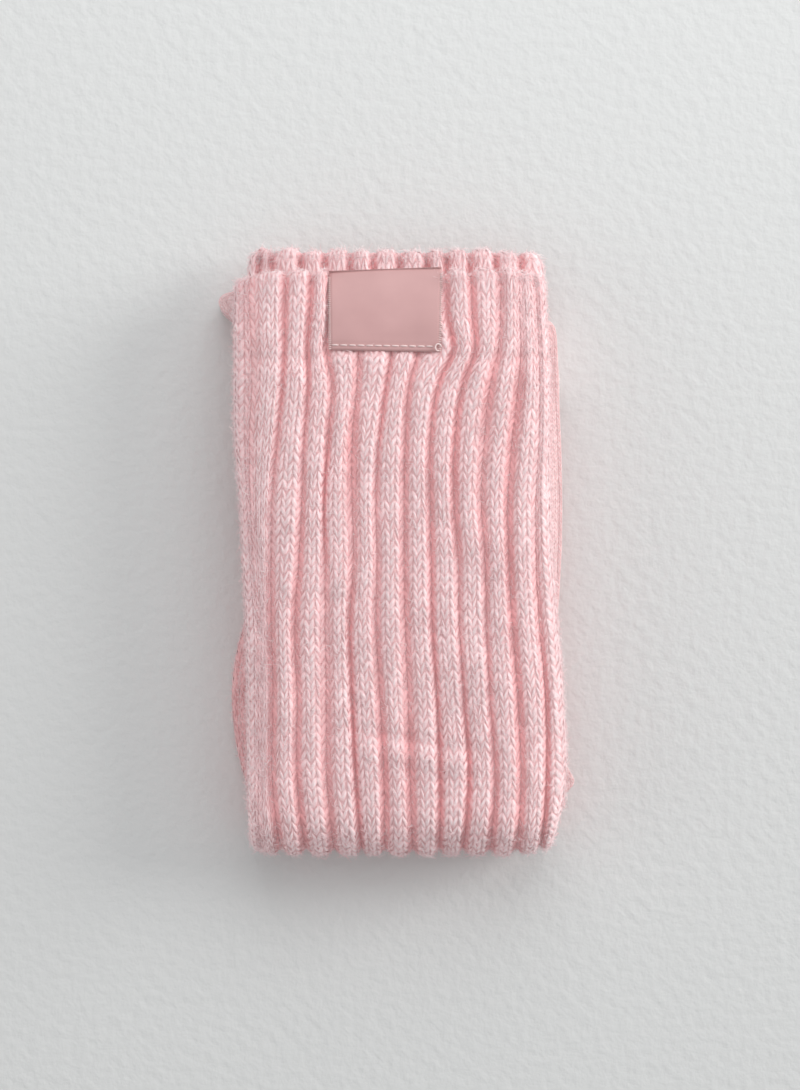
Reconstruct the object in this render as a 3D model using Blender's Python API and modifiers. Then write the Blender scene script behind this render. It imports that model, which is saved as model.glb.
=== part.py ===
"""A pair of wide-rib slouch socks, laid on each other, folded over and lying on a flat surface.

+X runs across the socks, +Y points to the cuffs and +Z up. The origin is on the surface, under the
middle of the stack. Sizes are in millimetres up to the point where a mesh is made.

The two legs lie on each other, the top sock's outermost. Together they turn round the lower fold and run
back under the stack. Between the runs lie the feet, which are one solid with layered edges.
A level is a height above the furrows of the top sock's outer face. Below zero it is inside the stack.
"""

import math
from collections import namedtuple

import bmesh
import bpy
import numpy as np

MM = 0.001

# The stack and its lower fold
STACK_HEIGHT = 30.0
FOLD_Y = -82.0
FOLD_REACH = 13.0
LAYER_GAP = 0.5
FEET_GAP = 1.0
MIDDLE_SHIFT = 1.2
EDGE_DROOP = 3.5
DROOP_START = 33.0
DROOP_REACH = 16.0
DROOP_MOST = 1.1

# The knit
WALL = 2.3
RIB_RISE = 1.7
RIB_FULL_WIDTH = 6.0
HEM_STEP = 0.5
HEM_Y = 64.0
HEM_SOFTNESS = 2.0
CUFF_SCALLOP = 0.7
SCALLOP_REACH = 6.0
RIBS_FADE = (-72.0, -25.0)

# The satin label
LABEL_LEFT = -22.3
LABEL_RIGHT = 12.8
LABEL_FRONT = (63.3, 68.0, 74.0, 80.0, 85.0)
LABEL_BACK = (80.0, 72.0, 64.0)
LABEL_THICK = 0.45
LABEL_GAP = 0.3
LABEL_COLUMNS = 8
LABEL_TURN = 0.8

Sock = namedtuple("Sock", "name thick cuff_y end_y")
TOP = Sock("top_sock_leg", thick=6.0, cuff_y=88.2, end_y=48.0)
SECOND = Sock("second_sock_leg", thick=5.4, cuff_y=95.6, end_y=46.5)
SECOND_OPENS = (44.0, 76.0)

# Height of the top furrows along the stack: it crowns in the middle, and the cuffs hang over the end.
TOP_LINE = (
    # y,    z
    (-82.0, 30.0),
    (-60.0, 30.2),
    (-30.0, 30.6),
    (0.0, 30.8),
    (30.0, 30.6),
    (55.0, 30.0),
    (75.0, 28.2),
    (96.0, 25.0),
)

# The top sock's left edge, the twelve furrows between its ribs, and its right edge: one row for each y
TOP_FURROWS = (
    # y,   left, furrow 1 to 12, right
    (-93.9, -47.9, -44.4, -38.1, -30.2, -21.1, -12.3, -4.7, 4.1, 12.6, 20.2, 28.7, 37.2, 45.0, 49.5),
    (-71.8, -48.2, -44.7, -40.3, -32.4, -23.0, -13.9, -5.0, 3.2, 12.6, 21.7, 29.9, 38.1, 46.3, 52.6),
    (-46.6, -48.5, -44.7, -40.0, -32.4, -23.3, -15.1, -6.3, 2.5, 11.7, 20.2, 28.4, 37.2, 46.0, 51.7),
    (-21.4, -48.8, -45.0, -40.6, -33.1, -23.6, -15.8, -7.6, 1.6, 10.1, 18.6, 27.1, 35.3, 43.8, 49.8),
    (-2.5, -49.8, -46.3, -40.6, -31.8, -23.6, -14.8, -7.2, 1.3, 9.8, 18.3, 26.8, 34.3, 42.8, 48.2),
    (16.4, -50.7, -47.3, -40.3, -30.9, -23.9, -15.1, -7.6, 1.3, 9.5, 17.0, 25.5, 34.0, 42.8, 47.6),
    (35.3, -52.3, -47.6, -38.7, -30.2, -22.7, -15.1, -6.6, 1.6, 9.5, 17.3, 26.5, 35.3, 43.8, 47.3),
    (54.2, -52.6, -46.8, -36.9, -29.0, -21.7, -13.5, -4.1, 3.2, 12.6, 20.2, 28.7, 37.5, 44.0, 47.3),
    (63.6, -52.6, -46.9, -36.5, -29.3, -23.3, -13.2, -2.8, 5.7, 16.7, 23.6, 30.9, 39.4, 44.0, 46.9),
    (73.1, -52.8, -47.6, -36.5, -28.7, -22.4, -13.2, -3.8, 5.4, 15.1, 23.0, 31.2, 41.5, 43.9, 46.4),
    (88.2, -52.6, -47.9, -36.2, -28.0, -22.7, -13.2, -3.8, 5.4, 14.5, 22.4, 31.3, 41.4, 43.4, 45.8),
)

# The same of the second sock, which shows at its cuff
SECOND_FURROWS = (
    # y,   left, furrow 1 to 12, right
    (-82.0, -46.5, -43.5, -40.5, -31.8, -24.3, -16.1, -8.8, -0.3, 8.5, 14.8, 22.4, 30.6, 38.7, 49.0),
    (0.0, -48.5, -45.5, -41.0, -31.8, -24.3, -16.1, -8.8, -0.3, 8.5, 14.8, 22.4, 30.6, 38.7, 47.5),
    (63.0, -49.5, -45.5, -41.0, -31.8, -24.3, -16.1, -8.8, -0.3, 8.5, 14.8, 22.4, 30.6, 38.7, 48.0),
    (80.0, -49.0, -45.5, -41.0, -31.8, -24.3, -16.1, -8.8, -0.3, 8.5, 14.8, 22.4, 30.6, 38.7, 46.9),
    (96.0, -48.4, -45.0, -41.0, -31.8, -24.3, -16.1, -8.8, -0.3, 8.5, 14.8, 22.4, 30.6, 38.7, 45.9),
)

# Left and right edges of the lower runs, which bulge out at the left under the top sock
UNDER_TOP = (
    # y,   left, right
    (-82.0, -47.5, 49.0),
    (-70.0, -51.5, 49.0),
    (-58.0, -53.9, 48.5),
    (-46.0, -54.6, 48.0),
    (-32.0, -53.0, 47.5),
    (-18.0, -49.0, 47.5),
    (50.0, -48.0, 47.5),
)
UNDER_SECOND = (
    # y,   left, right
    (-82.0, -46.0, 48.0),
    (-66.0, -50.0, 48.5),
    (-46.0, -52.0, 48.0),
    (-28.0, -50.0, 47.5),
    (-10.0, -47.5, 47.5),
    (50.0, -47.0, 47.5),
)

# The folded feet: a slab between the runs, then from HEEL_Y a full-height end that stands on the surface.
# Its left corner and the heel at its lower right stick out past the legs.
HEEL_Y = 49.2
FEET_EDGES = (
    # y,   left, right
    (-80.5, -38.0, 42.0),
    (-79.3, -43.5, 48.5),
    (-76.0, -45.8, 54.2),
    (-72.5, -46.5, 55.8),
    (-67.5, -47.0, 53.6),
    (-61.0, -47.0, 50.0),
    (-45.0, -47.0, 49.3),
    (-28.0, -47.0, 49.8),
    (-14.0, -47.0, 51.2),
    (0.0, -47.0, 52.0),
    (17.0, -47.0, 52.4),
    (34.0, -47.0, 51.8),
    (48.8, -47.2, 51.2),
    (49.2, -47.2, 51.2),
    (60.0, -47.6, 50.7),
    (68.0, -49.5, 50.4),
    (71.0, -54.5, 50.3),
    (73.5, -57.6, 50.3),
    (76.0, -58.3, 50.1),
    (78.0, -56.8, 49.3),
    (79.2, -53.0, 47.0),
)
FEET_LAYERS = 5
FEET_GROOVE = 1.0
FEET_GROOVE_SHARE = 0.12
FEET_COLUMNS = 10
FEET_END_KEPT = 0.7
# The end of the feet leans, so it reaches further at the left: y for each millimetre of x, and from where
FEET_LEAN = 0.09
FEET_LEANS = (52.0, 79.2)

# Where sections are taken: y along the upper run, degrees round the fold, y along the lower run
TOP_RUN = (
    *(80, 74, 69, 66.5, 64.5, 62, 58, 53, 47, 40, 32, 24),
    *(16, 8, 0, -9, -18, -27, -36, -45, -54, -63, -72, -79),
)
SECOND_RUN = (91, 84, 76, 66, 56, 44, 20, -10, -40, -65, -79)
TURN = (78, 60, 40, 20, 0, -20, -40, -60, -78)
SECOND_TURN = (70, 35, 0, -35, -70)
TOP_UNDER = (-82, -70, -58, -46, -32, -18, 10, 40)
SECOND_UNDER = (-82, -66, -46, -28, -10, 20, 40)
POCKET_RUN = (80, 73, 66, 55, 20, -30, -74)

# A rim or a closed end is rounded: how far it lies in from the end, and how much of the wall is left there
RIM = ((0.0, 0.35), (0.6, 0.75), (1.8, 1.0))
CLOSED_END = ((1.5, 0.95), (0.4, 0.75), (0.0, 0.5))
CLOSED_END_NARROWS = 0.04

# The outermost rib rolls over the sock's edge: distance in from the edge, and share of the sock's thickness
ROLLED_EDGE = ((1.6, 1.0), (0.3, 0.78), (0.0, 0.5), (0.45, 0.14))
# Round the rest of that rib: share of the way to the first furrow, and share of the rib's rise
EDGE_RIB = ((0.35, 0.75), (0.7, 0.85))
# Across a rib: share of its width, and share of its rise
RIB_SHAPE = ((0.2, 0.74), (0.5, 1.0), (0.8, 0.74))
# Points across a sock's plain back
BACK_POINTS = 10


def through(rows, at):
    """The columns after the first, read at one place from a smooth line through the rows."""
    table = np.array(rows, float)
    places, values = table[:, 0], table[:, 1:]
    at = min(max(at, places[0]), places[-1])
    slopes = np.gradient(values, places, axis=0)
    k = min(int(np.searchsorted(places, at, side="right")) - 1, len(places) - 2)
    step = places[k + 1] - places[k]
    t = (at - places[k]) / step
    ease = t * t * (3 - 2 * t)
    start, end = t * (1 - t) ** 2 * step, -t * t * (1 - t) * step
    return values[k] * (1 - ease) + values[k + 1] * ease + slopes[k] * start + slopes[k + 1] * end


def blend(low, high, value):
    """From 0 at low to 1 at high, eased at both ends."""
    t = min(max((value - low) / (high - low), 0.0), 1.0)
    return t * t * (3 - 2 * t)


def droop_at(x):
    """How far the stack's long edges hang below its middle."""
    t = np.clip((np.abs(x) - DROOP_START) / DROOP_REACH, 0, DROOP_MOST)
    return EDGE_DROOP * t * t


Station = namedtuple("Station", "run at")


def lay(station, x, level, along=0.0):
    """Points of a section of a sock, set on the upper run, round the fold or along the lower run."""
    x, level = np.asarray(x, float), np.asarray(level, float)
    if station.run == "upper":
        height = through(TOP_LINE, station.at)[0]
        return np.column_stack([x, station.at + along + 0 * x, height + level - droop_at(x)])
    if station.run == "turn":
        angle = math.radians(station.at)
        level = level - droop_at(x) * (1 + math.sin(angle)) / 2
        half = STACK_HEIGHT / 2
        y = FOLD_Y - (FOLD_REACH + level) * math.cos(angle)
        return np.column_stack([x, y, half + (half + level) * math.sin(angle)])
    return np.column_stack([x, station.at + 0 * x, -level])


def edges_and_furrows(upper, under, station):
    """The left edge, the furrows and the right edge of a sock where a section is taken."""
    if station.run == "upper":
        return through(upper, station.at)
    row = through(upper, FOLD_Y - FOLD_REACH)
    if station.run == "turn":
        share = (1 - math.sin(math.radians(station.at))) / 2
        left, right = row[[0, -1]] + (through(under, FOLD_Y) - row[[0, -1]]) * share
    else:
        left, right = through(under, station.at)
    return left + (row - row[0]) * (right - left) / (row[-1] - row[0])


def rib_share(station):
    """Ribs run over the fold and end before the flat underside."""
    if station.run == "upper":
        return 1.0
    return blend(*RIBS_FADE, station.at) if station.run == "turn" else 0.0


def loop_round(row, thick, rise, lift):
    """The outer section of a flattened sock as x, level and rib height, from its left edge over its ribs."""
    left, furrows, right = row[0], row[1:-1], row[-1]
    points = [(left + inset, -depth * thick, 0.0) for inset, depth in ROLLED_EDGE]
    points += [(left + share * (furrows[0] - left), lift, rise * high) for share, high in EDGE_RIB]
    for a, b in zip(furrows[:-1], furrows[1:]):
        height = rise * min(1.0, (b - a) / RIB_FULL_WIDTH)
        points.append((a, lift, 0.0))
        points += [(a + share * (b - a), lift, height * high) for share, high in RIB_SHAPE]
    points.append((furrows[-1], lift, 0.0))
    for share, high in reversed(EDGE_RIB):
        points.append((right - share * (right - furrows[-1]), lift, rise * high))
    points += [(right - inset, -depth * thick, 0.0) for inset, depth in reversed(ROLLED_EDGE)]
    inset = ROLLED_EDGE[0][0]
    for k in range(1, BACK_POINTS + 1):
        x = right - inset + (left - right + 2 * inset) * k / (BACK_POINTS + 1)
        points.append((x, -thick, 0.0))
    return np.array(points)


def pocket_round(outer, row, thick):
    """The plain inner section that goes with an outer one, a wall's thickness inside it: x and level."""
    middle, half = (row[0] + row[-1]) / 2, (row[-1] - row[0]) / 2
    share = np.clip(-outer[:, 1] / thick, 0, 1)
    x = middle + (outer[:, 0] - middle) * (half - WALL) / half
    return np.column_stack([x, -WALL - (thick - 2 * WALL) * share])


class Leg:
    """A folded sock's leg, from its open cuff over the upper run and the fold to its closed lower end."""

    def __init__(self, sock, upper, under, depth_at, ribs_at, lift_at):
        self.sock, self.upper, self.under = sock, upper, under
        self.depth_at, self.ribs_at, self.lift_at = depth_at, ribs_at, lift_at

    def section(self, station):
        """The outer section, its pocket's section, the middle of the wall between them and the scallop."""
        thick = self.sock.thick
        row = edges_and_furrows(self.upper, self.under, station)
        rise = RIB_RISE * rib_share(station) * self.ribs_at(station)
        loop = loop_round(row, thick, rise, self.lift_at(station))
        outer = np.column_stack([loop[:, 0], loop[:, 1] + loop[:, 2]])
        pocket = pocket_round(loop, row, thick)
        plain = np.column_stack([loop[:, 0], np.minimum(loop[:, 1], 0)])
        scallop = CUFF_SCALLOP * (1 - blend(0, SCALLOP_REACH, self.sock.cuff_y - station.at))
        return outer, pocket, (plain + pocket) / 2, scallop * loop[:, 2] / RIB_RISE

    def laid(self, station, points, along=0.0):
        return lay(station, points[:, 0], points[:, 1] + self.depth_at(station), along)

    def tube(self, upper_run, turn, under_run):
        """Lofts the leg through its sections, and its pocket through the plain ones."""
        outer_loops, pocket_loops = [], []
        for inset, kept in RIM:
            station = Station("upper", self.sock.cuff_y - inset)
            outer, pocket, middle, scallop = self.section(station)
            outer_loops.append(self.laid(station, middle + (outer - middle) * kept, scallop))
            pocket_loops.append(self.laid(station, middle + (pocket - middle) * kept, scallop))
        body = [Station("upper", y) for y in upper_run]
        body += [Station("turn", angle) for angle in turn]
        body += [Station("lower", y) for y in under_run]
        outer_loops += [self.laid(station, self.section(station)[0]) for station in body]
        for inset, kept in CLOSED_END:
            station = Station("lower", self.sock.end_y - inset)
            outer = self.section(station)[0]
            middle = np.array([outer[:, 0].mean(), -self.sock.thick / 2])
            keep = np.array([1 - (1 - kept) * CLOSED_END_NARROWS, kept])
            outer_loops.append(self.laid(station, middle + (outer - middle) * keep))
        for y in POCKET_RUN:
            station = Station("upper", y)
            pocket_loops.append(self.laid(station, self.section(station)[1]))
        return loft(outer_loops[::-1] + pocket_loops)


def loft(loops):
    """One closed mesh through loops that have the same number of points, with both ends closed."""
    mesh = bmesh.new()
    rings = [[mesh.verts.new(point * MM) for point in loop] for loop in loops]
    count = len(rings[0])
    for one, other in zip(rings[:-1], rings[1:]):
        for k in range(count):
            after = (k + 1) % count
            mesh.faces.new((one[k], other[k], other[after], one[after]))
    mesh.faces.new(rings[0])
    mesh.faces.new(rings[-1])
    bmesh.ops.recalc_face_normals(mesh, faces=mesh.faces)
    return mesh


def knit_material(name, colour, roughness):
    material = bpy.data.materials.new(name)
    material.use_nodes = True
    shader = material.node_tree.nodes["Principled BSDF"]
    shader.inputs["Base Color"].default_value = (*colour, 1.0)
    shader.inputs["Roughness"].default_value = roughness
    shader.inputs["Metallic"].default_value = 0.0
    return material


def add_object(name, mesh, material, collection):
    """Puts a finished mesh in the scene, shaded smooth but for its sharp rims."""
    data = bpy.data.meshes.new(name)
    mesh.to_mesh(data)
    mesh.free()
    data.shade_smooth()
    data.set_sharp_from_angle(angle=math.radians(60))
    data.materials.append(material)
    obj = bpy.data.objects.new(name, data)
    obj.location.x = MIDDLE_SHIFT * MM
    collection.objects.link(obj)
    return obj


def hem_lift(station):
    """The turned hem doubles the top sock's cuff, and ends in a low step."""
    if station.run != "upper":
        return 0.0
    return HEM_STEP * blend(HEM_Y - HEM_SOFTNESS / 2, HEM_Y + HEM_SOFTNESS / 2, station.at)


def second_opens(station):
    """Near its cuff the second sock hangs clear of the first by the height of its ribs, which show."""
    return blend(*SECOND_OPENS, station.at) if station.run == "upper" else 0.0


def second_depth(station):
    return -(TOP.thick + LAYER_GAP) - RIB_RISE * second_opens(station)


def top_sock_leg():
    leg = Leg(TOP, TOP_FURROWS, UNDER_TOP, lambda station: 0.0, lambda station: 1.0, hem_lift)
    return leg.tube(TOP_RUN, TURN, TOP_UNDER)


def second_sock_leg():
    leg = Leg(SECOND, SECOND_FURROWS, UNDER_SECOND, second_depth, second_opens, lambda station: 0.0)
    return leg.tube(SECOND_RUN, SECOND_TURN, SECOND_UNDER)


def layered_side(edge, inward, low, high):
    """Up one edge of the folded feet: layers that stand out, with grooves between them."""
    groove = min(FEET_GROOVE, (high - low) * FEET_GROOVE_SHARE)
    steps = 2 * FEET_LAYERS
    inset = [0.0 if k % 2 else groove for k in range(steps + 1)]
    inset[0] = inset[-1] = 2 * groove
    return [(edge + inward * inset[k], low + (high - low) * k / steps) for k in range(steps + 1)]


def feet_section(y, left, right, kept):
    """Round the folded feet at one y: up the layered left edge, over the top, down the right and back."""
    low = 0.0 if y >= HEEL_Y else TOP.thick + SECOND.thick + LAYER_GAP + FEET_GAP
    top = through(TOP_LINE, y)[0] + second_depth(Station("upper", y)) - SECOND.thick - FEET_GAP
    across = np.linspace(left, right, FEET_COLUMNS + 1)
    heights = top - droop_at(across)
    ring = layered_side(left, 1, low, heights[0])
    ring += list(zip(across[1:-1], heights[1:-1]))
    ring += layered_side(right, -1, low, heights[-1])[::-1]
    ring += [(x, low) for x in across[-2:0:-2]]
    ring = np.array(ring)
    middle = (low + top) / 2
    ring[:, 1] = middle + (ring[:, 1] - middle) * kept
    lean = FEET_LEAN * blend(*FEET_LEANS, y)
    return np.column_stack([ring[:, 0], y - lean * ring[:, 0], ring[:, 1]])


def folded_feet():
    ends = (0, len(FEET_EDGES) - 1)
    loops = []
    for k, (y, left, right) in enumerate(FEET_EDGES):
        loops.append(feet_section(y, left, right, FEET_END_KEPT if k in ends else 1.0))
    return loft(loops)


def label():
    """The ribbon lies on the ribs, turns over the cuff's rim and goes down inside the sock."""
    front = RIB_RISE + HEM_STEP + LABEL_GAP
    back = -WALL - LABEL_GAP
    rim_y = TOP.cuff_y + CUFF_SCALLOP + LABEL_GAP
    centre, radius = (front + back) / 2, (front - back) / 2
    path = [(y, front) for y in LABEL_FRONT]
    for degrees in range(90, -91, -30):
        angle = math.radians(degrees)
        turned = LABEL_TURN * (1 - math.sqrt(abs(math.cos(angle))))
        path.append((rim_y - turned, centre + radius * math.sin(angle)))
    path += [(y, back) for y in LABEL_BACK]
    mesh = bmesh.new()
    x = np.linspace(LABEL_LEFT, LABEL_RIGHT, LABEL_COLUMNS + 1)
    rows = []
    for y, level in path:
        rows.append([mesh.verts.new(point * MM) for point in lay(Station("upper", y), x, level)])
    for one, other in zip(rows[:-1], rows[1:]):
        for k in range(LABEL_COLUMNS):
            mesh.faces.new((one[k], one[k + 1], other[k + 1], other[k]))
    return mesh


def main():
    for obj in list(bpy.data.objects):
        bpy.data.objects.remove(obj)
    socks = bpy.data.collections.new("slouch_socks")
    bpy.context.scene.collection.children.link(socks)
    knit = knit_material("pink_rib_knit", (0.80, 0.52, 0.54), 0.85)
    foot_knit = knit_material("pink_plain_knit", (0.80, 0.50, 0.51), 0.85)
    satin = knit_material("rose_satin", (0.62, 0.36, 0.36), 0.4)
    add_object(TOP.name, top_sock_leg(), knit, socks)
    add_object(SECOND.name, second_sock_leg(), knit, socks)
    add_object("folded_feet", folded_feet(), foot_knit, socks)
    ribbon = add_object("label", label(), satin, socks)
    thickness = ribbon.modifiers.new("ribbon", "SOLIDIFY")
    thickness.thickness = LABEL_THICK * MM
    thickness.offset = 1.0
    thickness.use_even_offset = True


main()
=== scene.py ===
"""The looks of a pair of wide-rib slouch socks, laid on each other and folded flat.

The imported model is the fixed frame. The sections below follow the pair as it is put together: the top
sock's leg, the second sock's leg, the feet folded in between them, the label on the cuff, its sewing
thread, and the loose fibres of the brushed yarn. The floor, the light and the camera come last.
Sizes are in millimetres, and MM turns them into metres where a mesh is made.
"""

import math

import bpy
import numpy as np
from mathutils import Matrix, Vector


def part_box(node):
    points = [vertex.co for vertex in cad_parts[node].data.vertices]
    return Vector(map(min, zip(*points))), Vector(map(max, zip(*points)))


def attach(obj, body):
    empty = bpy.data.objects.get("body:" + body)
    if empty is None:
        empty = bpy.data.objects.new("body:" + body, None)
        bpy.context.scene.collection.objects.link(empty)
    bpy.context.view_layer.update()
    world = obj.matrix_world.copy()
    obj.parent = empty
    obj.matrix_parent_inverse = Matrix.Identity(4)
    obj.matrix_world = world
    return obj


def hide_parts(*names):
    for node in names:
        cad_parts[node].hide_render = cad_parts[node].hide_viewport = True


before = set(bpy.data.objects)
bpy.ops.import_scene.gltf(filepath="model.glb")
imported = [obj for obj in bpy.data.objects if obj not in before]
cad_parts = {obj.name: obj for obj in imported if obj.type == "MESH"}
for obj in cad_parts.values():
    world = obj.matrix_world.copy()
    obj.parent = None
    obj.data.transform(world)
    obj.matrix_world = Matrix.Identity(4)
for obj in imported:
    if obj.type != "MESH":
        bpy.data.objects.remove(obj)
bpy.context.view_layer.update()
MM = 0.001

# ---- The top sock's leg ------------------------------------------------------------------------------
# A tube of chunky brushed cotton, knitted in wide ribs with a turned double hem at its cuff. It is pressed
# flat, lies uppermost, turns round the lower fold and runs back under the stack, where it lies flat.

FOLD_Y, FOLD_REACH, STACK_HEIGHT = -82.0, 13.0, 30.0
EDGE_DROOP, DROOP_START, DROOP_REACH, DROOP_MOST = 3.5, 33.0, 16.0, 1.1
WALL, RIM = 2.3, 1.6
# LEFT_FLANK_PAINTED_SHADE is painted shade: it deepens the colour on each rib's left flank, the side away from
# the lamp.
RIB_RISE, RIB_FULL_WIDTH, CREST_PLACE, ROUNDNESS, LEFT_FLANK_PAINTED_SHADE = 2.2, 6.0, 0.66, 0.36, 0.4
RIBS, BACK_ROLL, BACK, LEFT_ROLL, ROUND = 13, 13, 14, 15, 16
EDGE_ROUND, EDGE_ROUND_MOST, EDGE_SHARE, EDGE_RISE = 2.8, 0.6, 0.42, 0.85
# Painted shade: the colour deepens on the underside, on the hidden layers and on the run under the stack.
UNDERSIDE_PAINTED_SHADE_CREST, UNDER_RUN_PAINTED_SHADE = 0.36, 0.55
CUFF_LOBE, CUFF_LOBE_REACH, CUFF_RAGGED, CORNER_REACH = 1.9, 6.0, 0.3, 16.0
RIBS_FADE = (-1.25, -0.45)
RIB_SWELLS = ((0.10, 7.5), (0.07, 3.4))
UNDER_CREASES_START = 12.0

# Height of the top furrows along the stack
TOP_LINE = (
    # y,    z
    (-82, 30),
    (-60, 30.2),
    (-30, 30.6),
    (0, 30.8),
    (30, 30.6),
    (55, 30),
    (75, 28.2),
    (96, 25),
)

# The top sock's left edge, the twelve furrows between its ribs, and its right edge: one row for each y
TOP_FURROWS = (
    # y,   left, furrow 1 to 12, right
    (-93.9, -47.9, -44.4, -38.1, -30.2, -21.1, -12.3, -4.7, 4.1, 12.6, 20.2, 28.7, 37.2, 45, 49.5),
    (-71.8, -48.2, -44.7, -40.3, -32.4, -23, -13.9, -5, 3.2, 12.6, 21.7, 29.9, 38.1, 46.3, 52.6),
    (-46.6, -48.5, -44.7, -40, -32.4, -23.3, -15.1, -6.3, 2.5, 11.7, 20.2, 28.4, 37.2, 46, 51.7),
    (-21.4, -48.8, -45, -40.6, -33.1, -23.6, -15.8, -7.6, 1.6, 10.1, 18.6, 27.1, 35.3, 43.8, 49.8),
    (-2.5, -49.8, -46.3, -40.6, -31.8, -23.6, -14.8, -7.2, 1.3, 9.8, 18.3, 26.8, 34.3, 42.8, 48.2),
    (16.4, -50.7, -47.3, -40.3, -30.9, -23.9, -15.1, -7.6, 1.3, 9.5, 17, 25.5, 34, 42.8, 47.6),
    (35.3, -52.3, -47.6, -38.7, -30.2, -22.7, -15.1, -6.6, 1.6, 9.5, 17.3, 26.5, 35.3, 43.8, 47.3),
    (54.2, -52.6, -46.8, -36.9, -29, -21.7, -13.5, -4.1, 3.2, 12.6, 20.2, 28.7, 37.5, 44, 47.3),
    (63.6, -52.6, -46.9, -36.5, -29.3, -23.3, -13.2, -2.8, 5.7, 16.7, 23.6, 30.9, 38, 43.8, 46.9),
    (73.1, -52.8, -47.6, -36.5, -28.7, -22.4, -13.2, -3.8, 5.4, 15.1, 23, 31.6, 37.8, 43.4, 46.4),
    (88.2, -52.6, -47.9, -36.2, -28, -22.7, -13.2, -3.8, 5.4, 14.5, 22.4, 31.8, 37.6, 42.8, 45.8),
)

# How wide each furrow is. A narrow one is a deep crease between two ribs, and a wide one shows its floor.
TOP_FURROW_WIDTHS = (
    # y,  furrow 1 to 12
    (-95, 1.6, 1.6, 1.5, 1.6, 1, 1.5, 1.6, 1.2, 1.1, 1.5, 1.6, 1.1),
    (-70, 1.6, 1.6, 1.5, 1.9, 0.9, 1.5, 1.8, 1, 0.9, 1.3, 1.6, 1),
    (-45, 1.7, 1.6, 1.6, 2.4, 0.9, 1.6, 2, 0.9, 1, 1.1, 1.6, 1.2),
    (-20, 1.7, 1.6, 1.6, 2.1, 1.1, 1.6, 1.8, 1.1, 1.1, 1.2, 1.5, 1.5),
    (5, 1.9, 1.4, 1.5, 0.9, 2.2, 1.4, 1.6, 1.4, 1.5, 1.6, 1.6, 1.6),
    (30, 2.2, 1.1, 1.2, 0.9, 2.2, 1, 1.5, 1.4, 1.4, 2.2, 2, 1.5),
    (45, 2.4, 1, 1, 1.5, 1.7, 1, 1.4, 1.2, 1.3, 2.2, 2.1, 1.4),
    (64, 3.2, 1.1, 1.1, 1.4, 1.5, 1.2, 1.4, 1.2, 1.4, 1.7, 1.8, 1.6),
    (88, 3.2, 1.5, 1.4, 1.3, 1.4, 1.3, 1.3, 1.4, 1.5, 1.8, 1.8, 1.6),
)
FURROW_DEEPENS, FURROW_PLAIN_WIDTH, FURROW_SPREAD, FURROW_FLATNESS = 0.8, 1.6, 1.1, 3

# How deep each furrow is, as a share of the rib's rise
TOP_FURROW_DEPTHS = (
    # y,  furrow 1 to 12
    (-95, 0.2, 1, 1, 1, 1, 1, 1, 1, 1, 1, 1, 1),
    (-72, 0.2, 0.9, 0.9, 0.8, 1, 1, 1, 1, 1, 0.9, 1, 1),
    (-46, 0.2, 0.9, 0.8, 0.7, 1, 0.9, 0.8, 0.9, 0.8, 0.7, 1, 0.9),
    (-15, 0.2, 0.8, 0.9, 0.6, 0.8, 0.7, 0.8, 0.8, 0.6, 0.7, 1, 0.7),
    (8, 0.3, 0.5, 0.8, 0.9, 0.7, 0.6, 0.8, 0.9, 0.9, 0.8, 1, 0.5),
    (31, 0.4, 0.7, 0.7, 0.9, 1, 0.7, 0.8, 0.8, 1, 0.7, 1, 0.3),
    (53, 0.4, 0.8, 0.8, 0.8, 0.8, 0.9, 0.8, 0.9, 0.9, 0.9, 0.9, 0.25),
    (64, 0.45, 0.9, 0.9, 0.9, 0.8, 0.8, 0.8, 1, 0.9, 0.7, 0.5, 0.35),
    (88, 0.45, 1, 1, 0.9, 0.8, 0.8, 0.8, 1, 1, 0.7, 0.3, 0.45),
)

# Creases and swellings, listed one by one, across the ribs and along them
TOP_CREASES = (
    # x, y, half length, half width, angle in degrees, height
    (6, -65, 17, 2.8, -8, 1),
    (5, -59.5, 18, 2.2, -8, -0.9),
    (-19, -15.5, 8, 3, 6, -0.6),
    (-19, -9, 8, 4, 6, 0.5),
    (-38, 56, 12, 4, 0, 0.6),
    (33, 55.5, 14, 4.5, -4, 0.6),
    (30, 3, 12, 5, 24, 0.6),
    (38, -8, 13, 4, 20, -0.6),
    (-33, 12, 14, 5, -14, 0.5),
    (-6, 22, 12, 6, 10, -0.5),
    (-30, -48, 15, 5, 5, 0.5),
    (24, -36, 15, 6, -14, 0.5),
    (-38, 74, 10, 7, 0, -0.5),
    (32, 75, 12, 6, 0, -0.4),
)
UNDER_CREASES = (
    # x, y, half length, half width, angle in degrees, height
    (-12, -40, 26, 4, 12, -1),
    (20, -12, 24, 3.5, -9, -0.9),
    (-22, 14, 18, 4, 17, -0.9),
    (12, 33, 22, 3.5, -12, -0.8),
)

# Edges of the run under the stack, which bulges out at the left
UNDER_TOP = (
    # y,    left, right
    (-82, -47.5, 49),
    (-70, -51.5, 49),
    (-58, -53.9, 48.5),
    (-46, -54.6, 48),
    (-32, -53, 47.5),
    (-18, -49, 47.5),
    (50, -48, 47.5),
)
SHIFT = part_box("top_sock_leg")[0].x / MM - min(left for _, left, _ in UNDER_TOP)


def smooth_rows(table, at):
    """The columns after a table's first, read at many places along a smooth line through its rows."""
    table = np.array(table, float)
    places, values = table[:, 0], table[:, 1:]
    at = np.clip(at, places[0], places[-1])
    slopes = np.gradient(values, places, axis=0)
    k = np.clip(np.searchsorted(places, at, side="right") - 1, 0, len(places) - 2)
    step = (places[k + 1] - places[k])[:, None]
    t = (at - places[k])[:, None] / step
    ease = t * t * (3 - 2 * t)
    start, end = t * (1 - t) ** 2 * step, -t * t * (1 - t) * step
    return values[k] * (1 - ease) + values[k + 1] * ease + slopes[k] * start + slopes[k + 1] * end


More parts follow.
